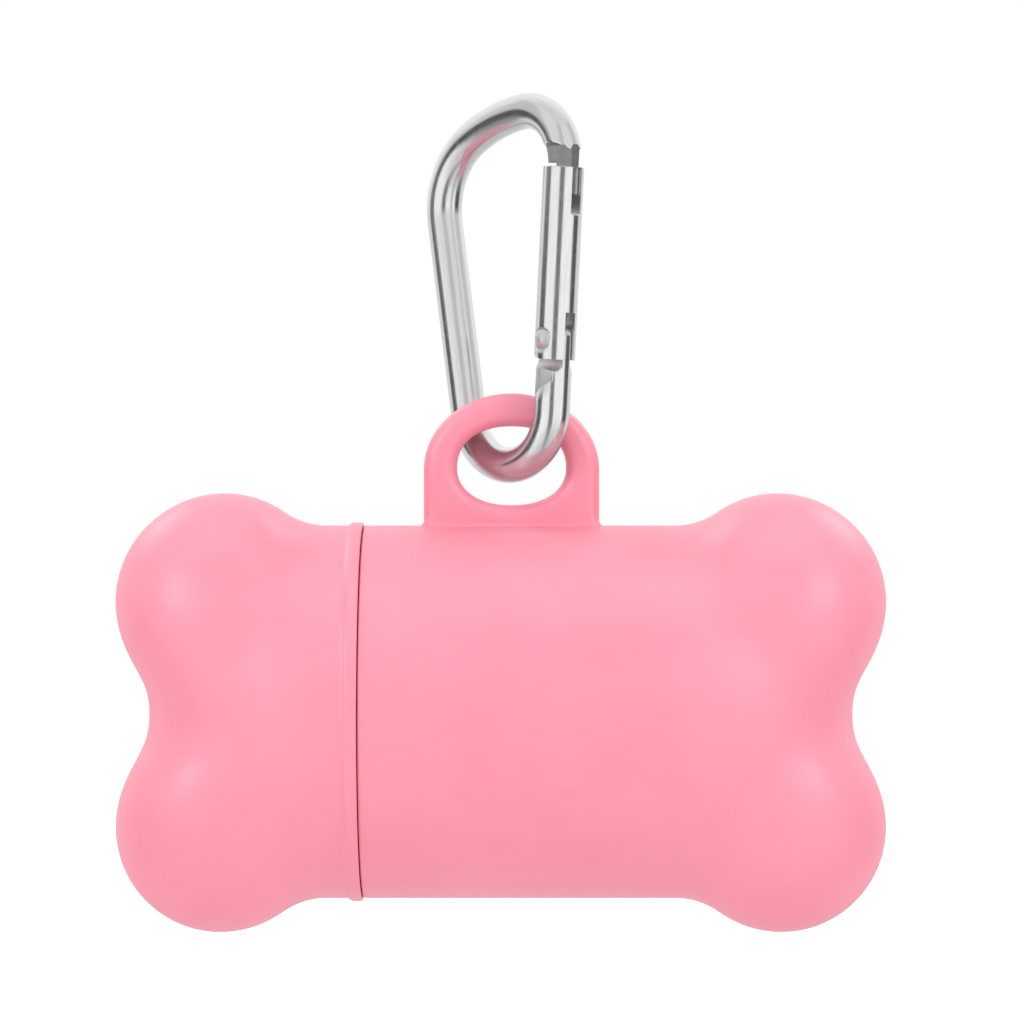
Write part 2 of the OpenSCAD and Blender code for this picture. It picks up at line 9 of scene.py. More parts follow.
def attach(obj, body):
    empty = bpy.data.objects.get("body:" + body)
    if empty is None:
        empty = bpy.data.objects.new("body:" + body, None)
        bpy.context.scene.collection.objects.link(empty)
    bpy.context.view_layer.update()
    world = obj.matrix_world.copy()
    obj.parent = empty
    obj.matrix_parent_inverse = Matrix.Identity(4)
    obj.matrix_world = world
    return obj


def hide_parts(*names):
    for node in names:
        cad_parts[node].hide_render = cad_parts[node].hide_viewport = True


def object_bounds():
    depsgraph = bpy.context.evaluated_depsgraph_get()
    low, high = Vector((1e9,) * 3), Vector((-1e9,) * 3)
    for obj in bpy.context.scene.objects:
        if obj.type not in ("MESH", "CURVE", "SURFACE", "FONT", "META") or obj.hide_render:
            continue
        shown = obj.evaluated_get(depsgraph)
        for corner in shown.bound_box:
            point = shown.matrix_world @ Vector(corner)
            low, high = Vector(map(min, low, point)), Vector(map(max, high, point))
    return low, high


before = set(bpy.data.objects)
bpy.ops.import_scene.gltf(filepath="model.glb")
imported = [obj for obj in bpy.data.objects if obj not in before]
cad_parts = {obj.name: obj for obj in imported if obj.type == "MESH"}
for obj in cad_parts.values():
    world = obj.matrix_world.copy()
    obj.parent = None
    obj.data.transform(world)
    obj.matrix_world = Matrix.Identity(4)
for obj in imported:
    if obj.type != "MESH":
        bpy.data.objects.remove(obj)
cadBox = [list(corner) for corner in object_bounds()]
scene = bpy.context.scene
mm = 0.001

# Shapes are drawn in millimetres with the case's middle at zero and its axis on X.
case = {
    "radius": 21.0,
    "wall": 2.0,
    "seam": 15.45,
    "seamGap": 0.1,
    "lobeRadius": 11.68,
    "lobeReach": 31.2,
    "lobeHeight": 12.95,
    "lobeDepth": 6.0,
    "lobeBend": 0.008,
    "neckRadius": 8.5,
    "valleyRadius": 11.2,
    "melt": 1.65,
    "noseLength": 20.0,
    "nearest": 8.0,
    "farthest": 40.0,
    "halvings": 26,
    "tipBlend": 25.0,
    "barrelBlend": 50.0,
    "around": 192,
    "outerRows": 84,
    "innerRows": 36,
}
tab = {
    "offset": 1.19,
    "width": 19.8,
    "top": 35.9,
    "archRise": 8.6,
    "thickness": 4.0,
    "edge": 1.5,
    "flare": 0.3,
    "holeWidth": 12.3,
    "holeTop": 32.2,
    "holeMiddle": 27.55,
    "holeBottom": 23.3,
    "squareness": 2.2,
    "foot": 1.75,
    "footFillet": 0.35,
    "around": 160,
}
clip = {
    "rod": 4.0,
    "turn": 45.0,
    "bendHeight": 34.5,
    "bendShift": -0.2,
    "bendRadius": 6.7,
    "crownRadius": 5.85,
    "crownShift": 2.7,
    "crownHeight": 27.3,
    "crownFrom": 96.0,
    "shoulderTo": 120.0,
    "shoulderRadius": 8.9,
    "backLean": 9.9,
    "hangShift": 3.3,
    "hangRise": 31.3,
    "rivetRise": 7.82,
    "gateShort": 0.44,
    "tongue": 1.2,
    "camHeight": 1.36,
    "camRound": 1.0,
    "stop": 2.7,
    "stopRise": 0.12,
    "stopRound": 0.5,
    "stopFall": 0.15,
    "collar": 1.4,
    "collarFall": 0.7,
    "collarHalf": 1.5,
    "noseLength": 3.0,
    "noseInner": -0.6,
    "noseRound": 0.7,
    "noseFlat": 1.72,
    "flatRise": 2.7,
    "cutterRadius": 4.0,
    "crownEnd": 40.0,
    "rivetHole": 0.75,
    "milledWithin": 0.95,
    "fineFrom": 60.0,
    "fineCut": 0.3,
    "edge": 0.07,
    "step": 0.4,
}


# Bone outline, as arcs that run into each other
neckZ = case["radius"] + case["neckRadius"]
neckDrop = neckZ - case["lobeHeight"]
neckX = case["lobeReach"] - math.sqrt((case["neckRadius"] + case["lobeRadius"]) ** 2 - neckDrop**2)
valleyX = case["lobeReach"] + math.sqrt(
    (case["valleyRadius"] + case["lobeRadius"]) ** 2 - case["lobeHeight"] ** 2)
lobeAhead = case["lobeReach"] - neckX
valleyAhead = valleyX - neckX
tipReach = valleyAhead - case["valleyRadius"]
neckShare = case["neckRadius"] / (case["neckRadius"] + case["lobeRadius"])
valleyShare = case["valleyRadius"] / (case["valleyRadius"] + case["lobeRadius"])
neckAngle = math.atan2(neckZ - neckShare * neckDrop, lobeAhead * neckShare)
valleyAngle = math.atan2(
    case["lobeHeight"] * valleyShare, valleyAhead - (valleyAhead - lobeAhead) * valleyShare)

# Carabiner lines, in its own plane with the lower bend's centre at zero
span = math.sqrt(clip["crownShift"] ** 2 + clip["crownHeight"] ** 2)
gateLean = math.atan2(clip["crownShift"], clip["crownHeight"]) - math.asin(
    (clip["bendRadius"] - clip["crownRadius"]) / span)
backLean = math.radians(clip["backLean"])
crownCentre = Vector((clip["crownShift"], clip["crownHeight"]))
crownFrom = math.radians(clip["crownFrom"])
shoulderTo = math.radians(clip["shoulderTo"])
backOut = Vector((-math.cos(backLean), -math.sin(backLean)))
crownOut = Vector((math.cos(crownFrom), math.sin(crownFrom)))
shoulderOut = Vector((math.cos(shoulderTo), math.sin(shoulderTo)))
topRadius = (
    clip["bendRadius"] - clip["shoulderRadius"] * (1 - backOut.dot(shoulderOut))
    - backOut.dot(crownCentre) - clip["crownRadius"] * backOut.dot(crownOut)
) / backOut.dot(shoulderOut - crownOut)
topCentre = crownCentre - crownOut * (topRadius - clip["crownRadius"])
shoulderCentre = topCentre + shoulderOut * (topRadius - clip["shoulderRadius"])
gateLow = Vector((math.cos(gateLean), -math.sin(gateLean))) * clip["bendRadius"]
gateWay = Vector((math.sin(gateLean), math.cos(gateLean)))
gateSide = Vector((gateWay.y, -gateWay.x))
rivetAt = gateLow + gateWay * clip["rivetRise"]
gateTo = math.sqrt(span**2 - (clip["bendRadius"] - clip["crownRadius"]) ** 2) - clip["rivetRise"]
gateReach = gateTo - clip["gateShort"]
turn = math.radians(clip["turn"])
hook = Vector((
    tab["offset"] + clip["bendShift"] + clip["hangShift"] * math.cos(turn),
    -clip["hangShift"] * math.sin(turn),
    clip["bendHeight"] + clip["hangRise"],
))
hung = Matrix.Scale(mm, 4) @ Matrix.Translation(-hook)
clipPlane = (
    Matrix.Translation((tab["offset"] + clip["bendShift"], 0, clip["bendHeight"]))
    @ Matrix.Rotation(-turn, 4, "Z") @ Matrix.Rotation(math.pi / 2, 4, "X"))
gatePlace = clipPlane @ Matrix.Translation((rivetAt.x, rivetAt.y, 0)) @ Matrix.Rotation(-gateLean, 4, "Z")


def newGroup(name, inputs, outputs):
    group = bpy.data.node_groups.new(name, "ShaderNodeTree")
    for label, kind, value in inputs:
        socket = group.interface.new_socket(label, in_out="INPUT", socket_type=kind)
        if value is not None:
            socket.default_value = value
    for label, kind in outputs:
        group.interface.new_socket(label, in_out="OUTPUT", socket_type=kind)
    return group, group.nodes.new("NodeGroupInput"), group.nodes.new("NodeGroupOutput")


# Links a socket, or sets a plain value
def feed(tree, value, socket):
    if isinstance(value, bpy.types.NodeSocket):
        tree.links.new(value, socket)
    else:
        socket.default_value = value


def maths(tree, operation, *values):
    node = tree.nodes.new("ShaderNodeMath")
    node.operation = operation
    for value, socket in zip(values, node.inputs):
        feed(tree, value, socket)
    return node.outputs[0]


def noiseAt(tree, vector, scale, detail, rough=0.5):
    node = tree.nodes.new("ShaderNodeTexNoise")
    for name, value in (("Vector", vector), ("Scale", scale), ("Detail", detail), ("Roughness", rough)):
        feed(tree, value, node.inputs[name])
    return node.outputs[0]


# Moulded skin: a fine even grain, slow flow clouds and a few specks
def buildMouldedSkin():
    group, given, out = newGroup(
        "mouldedSkin",
        [("Vector", "NodeSocketVector", None), ("Grain Scale", "NodeSocketFloat", 2600.0),
         ("Cloud Scale", "NodeSocketFloat", 90.0)],
        [("Height", "NodeSocketFloat"), ("Clouds", "NodeSocketFloat"), ("Specks", "NodeSocketFloat")])
    grain = noiseAt(group, given.outputs["Vector"], given.outputs["Grain Scale"], 3.0, 0.6)
    clouds = noiseAt(group, given.outputs["Vector"], given.outputs["Cloud Scale"], 4.0, 0.55)
    wide = maths(group, "MULTIPLY", given.outputs["Grain Scale"], 0.3)
    specks = noiseAt(group, given.outputs["Vector"], wide, 1.0)
    sparse = maths(group, "MULTIPLY", maths(group, "SUBTRACT", specks, 0.75), 8.0)
    group.links.new(grain, out.inputs["Height"])
    group.links.new(clouds, out.inputs["Clouds"])
    group.links.new(maths(group, "MAXIMUM", sparse, 0.0), out.inputs["Specks"])
    return group


# Drawn metal: streaks that run along the piece, and soft smudges
def buildDrawnMetal():
    group, given, out = newGroup(
        "drawnMetal",
        [("Vector", "NodeSocketVector", None), ("Stretch", "NodeSocketVector", (16.0, 16.0, 0.2)),
         ("Smudge Scale", "NodeSocketFloat", 1.1), ("Pit Scale", "NodeSocketFloat", 9.0)],
        [("Streaks", "NodeSocketFloat"), ("Smudges", "NodeSocketFloat"), ("Pits", "NodeSocketFloat")])
    scaled = group.nodes.new("ShaderNodeVectorMath")
    scaled.operation = "MULTIPLY"
    group.links.new(given.outputs["Vector"], scaled.inputs[0])
    group.links.new(given.outputs["Stretch"], scaled.inputs[1])
    streaks = noiseAt(group, scaled.outputs[0], 1.0, 3.0, 0.6)
    smudges = noiseAt(group, given.outputs["Vector"], given.outputs["Smudge Scale"], 4.0, 0.6)
    pits = noiseAt(group, given.outputs["Vector"], given.outputs["Pit Scale"], 2.0, 0.7)
    for name, value in (("Streaks", streaks), ("Smudges", smudges), ("Pits", pits)):
        group.links.new(value, out.inputs[name])
    return group


mouldedSkin = buildMouldedSkin()
drawnMetal = buildDrawnMetal()


def startMaterial(name):
    material = bpy.data.materials.new(name)
    material.use_nodes = True
    tree = material.node_tree
    return material, tree, tree.nodes["Principled BSDF"]


def placeGroup(tree, group, vector, scales):
    node = tree.nodes.new("ShaderNodeGroup")
    node.node_tree = group
    for name, value in {"Vector": vector, **scales}.items():
        feed(tree, value, node.inputs[name])
    return node.outputs


def rangeOf(tree, value, low, high, start=0.3, end=0.7):
    node = tree.nodes.new("ShaderNodeMapRange")
    for name, number in (
            ("Value", value), ("From Min", start), ("From Max", end), ("To Min", low), ("To Max", high)):
        feed(tree, number, node.inputs[name])
    return node.outputs["Result"]


def blendColours(tree, factor, first, second):
    node = tree.nodes.new("ShaderNodeMix")
    node.data_type = "RGBA"
    tree.links.new(factor, node.inputs["Factor"])
    for socket, value in ((node.inputs[6], first), (node.inputs[7], second)):
        feed(tree, (*value, 1.0) if isinstance(value, tuple) else value, socket)
    return node.outputs[2]


def addBump(tree, shader, height, strength, distance):
    bump = tree.nodes.new("ShaderNodeBump")
    bump.inputs["Strength"].default_value = strength
    bump.inputs["Distance"].default_value = distance
    tree.links.new(height, bump.inputs["Height"])
    tree.links.new(bump.outputs["Normal"], shader.inputs["Normal"])


# Tone, roughness and bump each follow a named output of one shader group
def patterned(name, group, scales, look):
    material, tree, shader = startMaterial(name)
    skin = placeGroup(tree, group, tree.nodes.new("ShaderNodeTexCoord").outputs["Object"], scales)
    follow, deep, light = look["tone"]
    tone = blendColours(tree, rangeOf(tree, skin[follow], 0.0, 1.0), deep, light)
    if "speck" in look:
        tone = blendColours(tree, skin["Specks"], tone, look["speck"])
    if "paintedReflectionTone" in look:  # painted reflection: glossy rays see a darker, greyer tone, so the metal mirrors the pink dimmer
        ray = tree.nodes.new("ShaderNodeLightPath")
        share = maths(tree, "MULTIPLY", ray.outputs["Is Glossy Ray"], look["paintedReflectionShare"])
        tone = blendColours(tree, share, tone, look["paintedReflectionTone"])
    follow, low, high = look["rough"]
    tree.links.new(tone, shader.inputs["Base Color"])
    tree.links.new(rangeOf(tree, skin[follow], low, high), shader.inputs["Roughness"])
    shader.inputs["Metallic"].default_value = look.get("metallic", 0.0)
    shader.inputs["Specular IOR Level"].default_value = look.get("shine", 0.5)
    follow, strength, distance = look["bump"]
    addBump(tree, shader, skin[follow], strength, distance)
    return material


def brightAluminium():
    look = {"dull": (0.78, 0.785, 0.795), "bright": (0.88, 0.88, 0.885), "rough": (0.11, 0.21),
            "milled": (0.82, 0.82, 0.82), "milledRough": (0.4, 0.52), "stretch": (16.0, 16.0, 0.22),
            "pits": 0.8, "bump": (0.3, 0.00002)}
    material, tree, shader = startMaterial("drawnAluminium")
    drawn = tree.nodes.new("ShaderNodeAttribute")
    drawn.attribute_name = "drawn"
    metal = placeGroup(tree, drawnMetal, drawn.outputs["Vector"], {"Stretch": look["stretch"]})
    tone = blendColours(tree, rangeOf(tree, metal["Streaks"], 0.0, 1.0), look["dull"], look["bright"])
    cut = tree.nodes.new("ShaderNodeAttribute")
    cut.attribute_name = "milled"
    tree.links.new(blendColours(tree, cut.outputs["Fac"], tone, look["milled"]), shader.inputs["Base Color"])
    shader.inputs["Metallic"].default_value = 1.0
    polish = rangeOf(tree, metal["Smudges"], *look["rough"])
    coarse = rangeOf(tree, metal["Pits"], *look["milledRough"])
    rough = maths(tree, "MULTIPLY_ADD", cut.outputs["Fac"], maths(tree, "SUBTRACT", coarse, polish), polish)
    tree.links.new(rough, shader.inputs["Roughness"])
    grain = maths(tree, "MULTIPLY_ADD", metal["Pits"], look["pits"], metal["Streaks"])
    addBump(tree, shader, grain, *look["bump"])
    return material


satinPink = patterned("satinPink", mouldedSkin, {}, {
    "tone": ("Clouds", (0.965, 0.29, 0.385), (0.985, 0.318, 0.418)), "speck": (0.94, 0.27, 0.36),
    # painted reflection: darker, greyer pink mixed in wherever glossy rays see the plastic
    "paintedReflectionTone": (0.36, 0.26, 0.28), "paintedReflectionShare": 0.6, "rough": ("Height", 0.36, 0.46), "shine": 0.7,
    "bump": ("Height", 0.12, 0.00005)})
drawnAluminium = brightAluminium()
pinSteel = patterned(
    "pinSteel", drawnMetal, {"Stretch": (900.0, 900.0, 900.0), "Smudge Scale": 260.0, "Pit Scale": 5200.0}, {
        "tone": ("Smudges", (0.5, 0.5, 0.51), (0.62, 0.62, 0.63)), "rough": ("Streaks", 0.22, 0.36),
        "metallic": 1.0, "bump": ("Pits", 0.2, 0.00002)})
greenFilm = patterned("bagFilm", mouldedSkin, {"Grain Scale": 900.0, "Cloud Scale": 160.0}, {
    "tone": ("Clouds", (0.04, 0.13, 0.075), (0.07, 0.2, 0.11)), "rough": ("Clouds", 0.3, 0.45),
    "bump": ("Clouds", 0.5, 0.0003)})
coreBoard = patterned("coreBoard", mouldedSkin, {"Grain Scale": 3200.0, "Cloud Scale": 400.0}, {
    "tone": ("Height", (0.42, 0.28, 0.16), (0.56, 0.4, 0.25)), "speck": (0.25, 0.15, 0.08),
    "rough": ("Clouds", 0.8, 0.95), "bump": ("Height", 0.4, 0.0001)})
print("materials made")


def faceOutwards(bm):
    bmesh.ops.recalc_face_normals(bm, faces=bm.faces)


def ringOf(bm, points):
    verts = [bm.verts.new(p) for p in points]
    for pair in zip(verts, verts[1:] + verts[:1]):
        bm.edges.new(pair)
    return verts


def ringEdges(bm, verts):
    return [bm.edges.get(pair) for pair in zip(verts, verts[1:] + verts[:1])]


# Extrudes the open ring again and again, each time onto the next list of points
def skinOver(bm, rings, closeEnds=False, joinEnds=False):
    first = ringOf(bm, rings[0])
    edges = ringEdges(bm, first)
    current = first
    for points in rings[1:]:
        made = bmesh.ops.extrude_edge_only(bm, edges=edges)["geom"]
        after = {}
        for edge in (e for e in made if isinstance(e, bmesh.types.BMEdge)):
            for vert in edge.verts:
                after.setdefault(tuple(round(c, 7) for c in vert.co), vert)
        moved = [after[tuple(round(c, 7) for c in vert.co)] for vert in current]
        for vert, point in zip(moved, points):
            vert.co = point
        edges = ringEdges(bm, moved)
        current = moved
    if closeEnds:
        bm.faces.new(first)
        bm.faces.new(current)
    if joinEnds:
        bmesh.ops.remove_doubles(bm, verts=first + current, dist=1e-4)


# Turns a half outline about the X axis into a closed skin
def turnedOnX(points, steps, closed=False):
    bm = bmesh.new()
    verts = [bm.verts.new((x, 0, r)) for x, r in points]
    edges = [bm.edges.new(pair) for pair in zip(verts, verts[1:])]
    if closed:
        edges.append(bm.edges.new((verts[-1], verts[0])))
    bmesh.ops.spin(
        bm, geom=verts + edges, cent=(0, 0, 0), axis=(1, 0, 0), angle=2 * math.pi, steps=steps,
        use_merge=True, use_duplicate=False)
    bmesh.ops.remove_doubles(bm, verts=bm.verts, dist=1e-4)
    faceOutwards(bm)
    return bm


def looseObject(bm, name):
    mesh = bpy.data.meshes.new(name)
    bm.to_mesh(mesh)
    bm.free()
    made = bpy.data.objects.new(name, mesh)
    scene.collection.objects.link(made)
    return made


# Joins to, or cuts from, one closed shape another one
def carve(bm, other, operation, solver="EXACT"):
    faceOutwards(other)
    target = looseObject(bm, "target")
    tool = looseObject(other, "tool")
    modifier = target.modifiers.new("carve", "BOOLEAN")
    modifier.operation = operation
    modifier.solver = solver
    modifier.object = tool
    result = target.evaluated_get(bpy.context.evaluated_depsgraph_get()).to_mesh()
    carved = bmesh.new()
    carved.from_mesh(result)
    for done in (target, tool):
        mesh = done.data
        bpy.data.objects.remove(done)
        bpy.data.meshes.remove(mesh)
    return carved


# Places a drawn shape as the finished piece that stands for one node
def makePiece(bm, name, body, node, material, place=Matrix.Identity(4), sharpFrom=35, drawn=None):
    if drawn:
        pattern = drawn(np.array([v.co for v in bm.verts], float))
        middles = drawn(np.array([f.calc_center_median() for f in bm.faces], float))
        milled = np.where(np.hypot(middles[:, 0], middles[:, 1]) < clip["milledWithin"], 1.0, 0.0)
        milled[middles[:, 2] > clip["fineFrom"]] *= clip["fineCut"]
    bmesh.ops.transform(bm, matrix=place, verts=bm.verts)
    bmesh.ops.transform(bm, matrix=hung, verts=bm.verts)
    faceOutwards(bm)
    piece = looseObject(bm, name)
    mesh = piece.data
    mesh.polygons.foreach_set("use_smooth", [True] * len(mesh.polygons))
    mesh.set_sharp_from_angle(angle=math.radians(sharpFrom))
    mesh.materials.append(material)
    if drawn:
        mesh.attributes.new("drawn", "FLOAT_VECTOR", "POINT").data.foreach_set("vector", pattern.ravel())
        mesh.attributes.new("milled", "FLOAT", "FACE").data.foreach_set("value", milled)
    modifier = piece.modifiers.new("evenNormals", "WEIGHTED_NORMAL")
    modifier.keep_sharp = True
    modifier.weight = 60
    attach(piece, body)
    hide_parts(node)
    print(name, "made,", len(mesh.polygons), "faces")
    return piece


def spread(start, end, count):
    return [start + (end - start) * k / count for k in range(count + 1)]


def roundedCorner(cx, cz, radius, start, end, steps):
    angles = [math.radians(a) for a in spread(start, end, steps)]
    return [(cx + radius * math.cos(a), cz + radius * math.sin(a)) for a in angles]


def lobeField(x, y, z, side):
    past = np.maximum(np.abs(y) - case["lobeDepth"], 0)
    centre = side * (case["lobeHeight"] - case["lobeBend"] * y * y)
    return np.sqrt((x - case["lobeReach"]) ** 2 + past**2 + (z - centre) ** 2) - case["lobeRadius"]


# Distance outside the melted end: a round nose and two lobes
def endField(x, y, z):
    ahead = np.maximum(x - neckX, 0) / case["noseLength"]
    nose = (np.sqrt(ahead**2 + (y * y + z * z) / case["radius"] ** 2) - 1) * case["radius"]
    parts = (nose, lobeField(x, y, z, 1), lobeField(x, y, z, -1))
    return -case["melt"] * np.log(sum(np.exp(-p / case["melt"]) for p in parts))


def fieldReach(a, b, depth):
    low = np.full_like(a, case["nearest"])
    high = np.full_like(a, case["farthest"])
    for _ in range(case["halvings"]):
        mid = (low + high) / 2
        out = mid * np.sin(a)
        inside = endField(neckX + mid * np.cos(a), out * np.sin(b), out * np.cos(b)) < -depth
        low = np.where(inside, mid, low)
        high = np.where(inside, high, mid)
    return (low + high) / 2


def circleHit(cx, cz, radius, a, side):
    along = cx * np.cos(a) + cz * np.sin(a)
    return along + side * np.sqrt(np.maximum(along**2 - (cx * cx + cz * cz - radius**2), 0))


def outlineReach(a):
    valley = circleHit(valleyAhead, 0, case["valleyRadius"], a, -1)
    lobe = circleHit(lobeAhead, case["lobeHeight"], case["lobeRadius"], a, 1)
    neck = circleHit(0, neckZ, case["neckRadius"], a, -1)
    return np.where(a < valleyAngle, valley, np.where(a < neckAngle, lobe, neck))


def ease(t):
    c = np.clip(t, 0, 1)
    return c * c * (3 - 2 * c)


def endReach(a, b, depth):
    zero = np.zeros_like(a)
    right = np.full_like(a, math.pi / 2)
    front = outlineReach(a) - fieldReach(a, zero, 0)
    low = outlineReach(right) - fieldReach(right, zero, 0)
    atBarrel = fieldReach(right, b, depth) + np.cos(b) ** 2 * low
    atTip = fieldReach(zero, zero, depth) + outlineReach(zero) - fieldReach(zero, zero, 0)
    nearTip = ease(1 - np.degrees(a) / case["tipBlend"])
    raw = fieldReach(a, b, depth) + (np.cos(b) ** 2 + np.sin(b) ** 2 * nearTip) * front
    nearBarrel = ease((np.degrees(a) - case["barrelBlend"]) / (90 - case["barrelBlend"]))
    toBarrel = nearBarrel * (case["radius"] - depth - atBarrel)
    return raw + toBarrel + nearTip * (tipReach - depth - atTip)


outerBall = 60.0  # marks the rows of the outer skin until they are moved to their place
innerBall = 50.0


def endRows(ball, count):
    angles = [math.radians(90 * k / count) for k in range(count)]
    return [(neckX + ball * math.cos(a), ball * math.sin(a)) for a in angles]


# Moves the marked rows onto the melted lobes
def shapeEnd(bm):
    for ball, depth in ((outerBall, 0.0), (innerBall, case["wall"])):
        verts = [v for v in bm.verts if abs((v.co - Vector((neckX, 0, 0))).length - ball) < 0.5]
        co = np.array([v.co for v in verts], float)
        a = np.arctan2(np.hypot(co[:, 1], co[:, 2]), co[:, 0] - neckX)
        b = np.arctan2(co[:, 1], co[:, 2])
        reach = endReach(a, b, depth)
        for vert, r, aa, bb in zip(verts, reach, a, b):
            out = r * math.sin(aa)
            vert.co = (neckX + r * math.cos(aa), out * math.sin(bb), out * math.cos(bb))
    faceOutwards(bm)


def tabSide(z):
    low = min(max(case["radius"] + tab["flare"] - z, 0), tab["flare"])
    return tab["width"] / 2 + tab["flare"] - math.sqrt(tab["flare"] ** 2 - low * low)


def tabOutline(a):
    foot = case["radius"] - tab["foot"]
    archBase = tab["top"] - tab["archRise"] - tab["holeMiddle"]
    half = tab["width"] / 2
    dx, dz = math.cos(a), math.sin(a)
    qa = (dx / half) ** 2 + (dz / tab["archRise"]) ** 2
    qb = dz * archBase / tab["archRise"] ** 2
    qc = (archBase / tab["archRise"]) ** 2 - 1
    archHit = (qb + math.sqrt(max(qb * qb - qa * qc, 0))) / qa
    if dz * archHit > archBase:
        return dx * archHit, tab["holeMiddle"] + dz * archHit
    sideZ = tab["holeMiddle"] + dz * half / max(abs(dx), 0.001)
    if sideZ > foot:
        return math.copysign(tabSide(sideZ), dx), sideZ
    footHit = (foot - tab["holeMiddle"]) / dz
    return dx * footHit, foot


def holeOutline(a):
    power = 2 / tab["squareness"]
    rise = tab["holeTop"] - tab["holeMiddle"] if math.sin(a) > 0 else tab["holeMiddle"] - tab["holeBottom"]
    px = math.copysign(abs(math.cos(a)) ** power, math.cos(a))
    pz = math.copysign(abs(math.sin(a)) ** power, math.sin(a))
    return tab["holeWidth"] / 2 * px, tab["holeMiddle"] + rise * pz


# The tab thickens in a hollow round where it meets the barrel
def footSpread(y, z):
    fillet = tab["footFillet"]
    gone = min(max(math.hypot(y, z) - case["radius"], fillet * 0.04), fillet)
    return 1 + (fillet - math.sqrt(fillet**2 - (fillet - gone) ** 2)) / (tab["thickness"] / 2)


def tabSection():
    edge = tab["edge"]
    core = tab["thickness"] / 2 - edge
    corner = spread(0, 90, 8)
    rows = []  # share of the way across, rounding across, place front to back
    for c in corner:
        rows.append((1, math.cos(math.radians(c)) - 1, core + edge * math.sin(math.radians(c))))
    for share in spread(1, 0, 10)[1:-1]:
        rows.append((share, None, core + edge))
    for c in corner:
        rows.append((0, 1 - math.sin(math.radians(c)), core + edge * math.cos(math.radians(c))))
    return rows


def tabRings():
    edge = tab["edge"]
    rings = []
    half = tabSection()
    rows = half + [(s, e, -y) for s, e, y in reversed(half)]
    stations = []
    for i in range(tab["around"]):
        a = 2 * math.pi * (i + 0.5) / tab["around"]
        hx, hz = holeOutline(a)
        ox, oz = tabOutline(math.atan2(hz - tab["holeMiddle"], hx))
        stations.append((hx, hz, ox - hx, oz - hz))
    for share, inset, y in rows:
        ring = []
        for hx, hz, wx, wz in stations:
            length = math.hypot(wx, wz)
            if inset is None:
                reach = edge + share * (length - 2 * edge)
            else:
                reach = share * length + edge * inset
            x = tab["offset"] + hx + wx / length * reach
            z = hz + wz / length * reach
            ring.append((x, y * footSpread(y, z), z))
        rings.append(ring)
    rings.append(rings[0])
    return rings


def boxOf(centre, size):
    bm = bmesh.new()
    bmesh.ops.create_cube(bm, size=1.0, matrix=Matrix.Translation(centre) @ Matrix.Diagonal((*size, 1)))
    return bm


def tabShape():
    bm = bmesh.new()
    skinOver(bm, tabRings(), joinEnds=True)
    faceOutwards(bm)
    return bm


slot = {"length": 26.0, "width": 6.0, "offset": 7.0, "lip": 0.7, "innerLip": 0.5, "lipFrom": 18.0,
        "outside": 3.0, "inside": 2.0, "around": 96}
mouth = {"edge": 0.25, "keyWidth": 3.3, "keyDepth": 0.7, "keyLength": 9.0, "keyPast": 1.0, "keyTall": 3.0}


def slotRing(spreadOut, depth):
    reach = (slot["length"] - slot["width"]) / 2
    rounding = slot["width"] / 2 + spreadOut
    points = []
    for k in range(slot["around"]):
        a = 2 * math.pi * (k + 0.5) / slot["around"]
        x = math.copysign(reach, math.cos(a)) + rounding * math.cos(a)
        z = rounding * math.sin(a)
        r = case["radius"] - depth
        points.append((slot["offset"] + x, math.sqrt(r * r - z * z), z))
    return points


def slotTool():
    lip, inner, wall = slot["lip"], slot["innerLip"], case["wall"]
    outside, inside = slot["outside"], slot["inside"]
    first = math.radians(slot["lipFrom"])
    rings = [slotRing(
        lip * (1 - math.sin(first)) + outside, lip * (1 - math.cos(first)) - outside * math.tan(first))]
    for a in spread(first, math.pi / 2, 8):
        rings.append(slotRing(lip * (1 - math.sin(a)), lip * (1 - math.cos(a))))
    for a in reversed(spread(first, math.pi / 2, 6)):
        rings.append(slotRing(inner * (1 - math.sin(a)), wall - inner * (1 - math.cos(a))))
    rings.append(slotRing(
        inner * (1 - math.sin(first)) + inside,
        wall - inner * (1 - math.cos(first)) + inside * math.tan(first)))
    bm = bmesh.new()
    skinOver(bm, rings, closeEnds=True)
    return bm


def bodyShape():
    radius, bore, edge = case["radius"], case["radius"] - case["wall"], mouth["edge"]
    start = -case["seam"]
    outline = [(neckX + outerBall, 0)] + endRows(outerBall, case["outerRows"])[1:]
    outline += [(x, radius) for x in spread(neckX, start + edge, 34)]
    outline += roundedCorner(start + edge, radius - edge, edge, 90, 180, 5)[1:]
    outline += roundedCorner(start + edge, bore + edge, edge, 180, 270, 4)
    outline += [(x, bore) for x in spread(start + edge, neckX, 20)[1:]]
    outline += list(reversed(endRows(innerBall, case["innerRows"])[1:]))
    outline.append((neckX + innerBall, 0))
    bm = turnedOnX(outline, case["around"])
    shapeEnd(bm)
    bm = carve(bm, tabShape(), "UNION")
    bm = carve(bm, slotTool(), "DIFFERENCE")
    past, tall = mouth["keyPast"], mouth["keyTall"]
    keyway = boxOf(
        (start + mouth["keyLength"] / 2 - past / 2, 0, -bore - mouth["keyDepth"] + tall / 2),
        (mouth["keyLength"] + past, mouth["keyWidth"], tall))
    return carve(bm, keyway, "DIFFERENCE")


makePiece(bodyShape(), "caseBody", "case", "main_body", satinPink)

plug = {"length": 8.0, "wall": 1.25, "gap": 0.13, "ringGap": 0.03, "ringLength": 1.2, "ringBack": 2.6,
        "ringSlope": 0.12, "round": 0.4, "boreRound": 0.25, "boreEnd": 2.6}
bead = {"width": 1.55, "height": 0.35, "rimRound": 0.2, "rimFall": 0.02,
        "rise": [(0.15, 0.02), (0.0, 0.07), (-0.12, 0.17), (-0.24, 0.265), (-0.4, 0.325), (-0.6, 0.35)]}
rib = {"width": 3.0, "gap": 0.15, "root": 0.5}


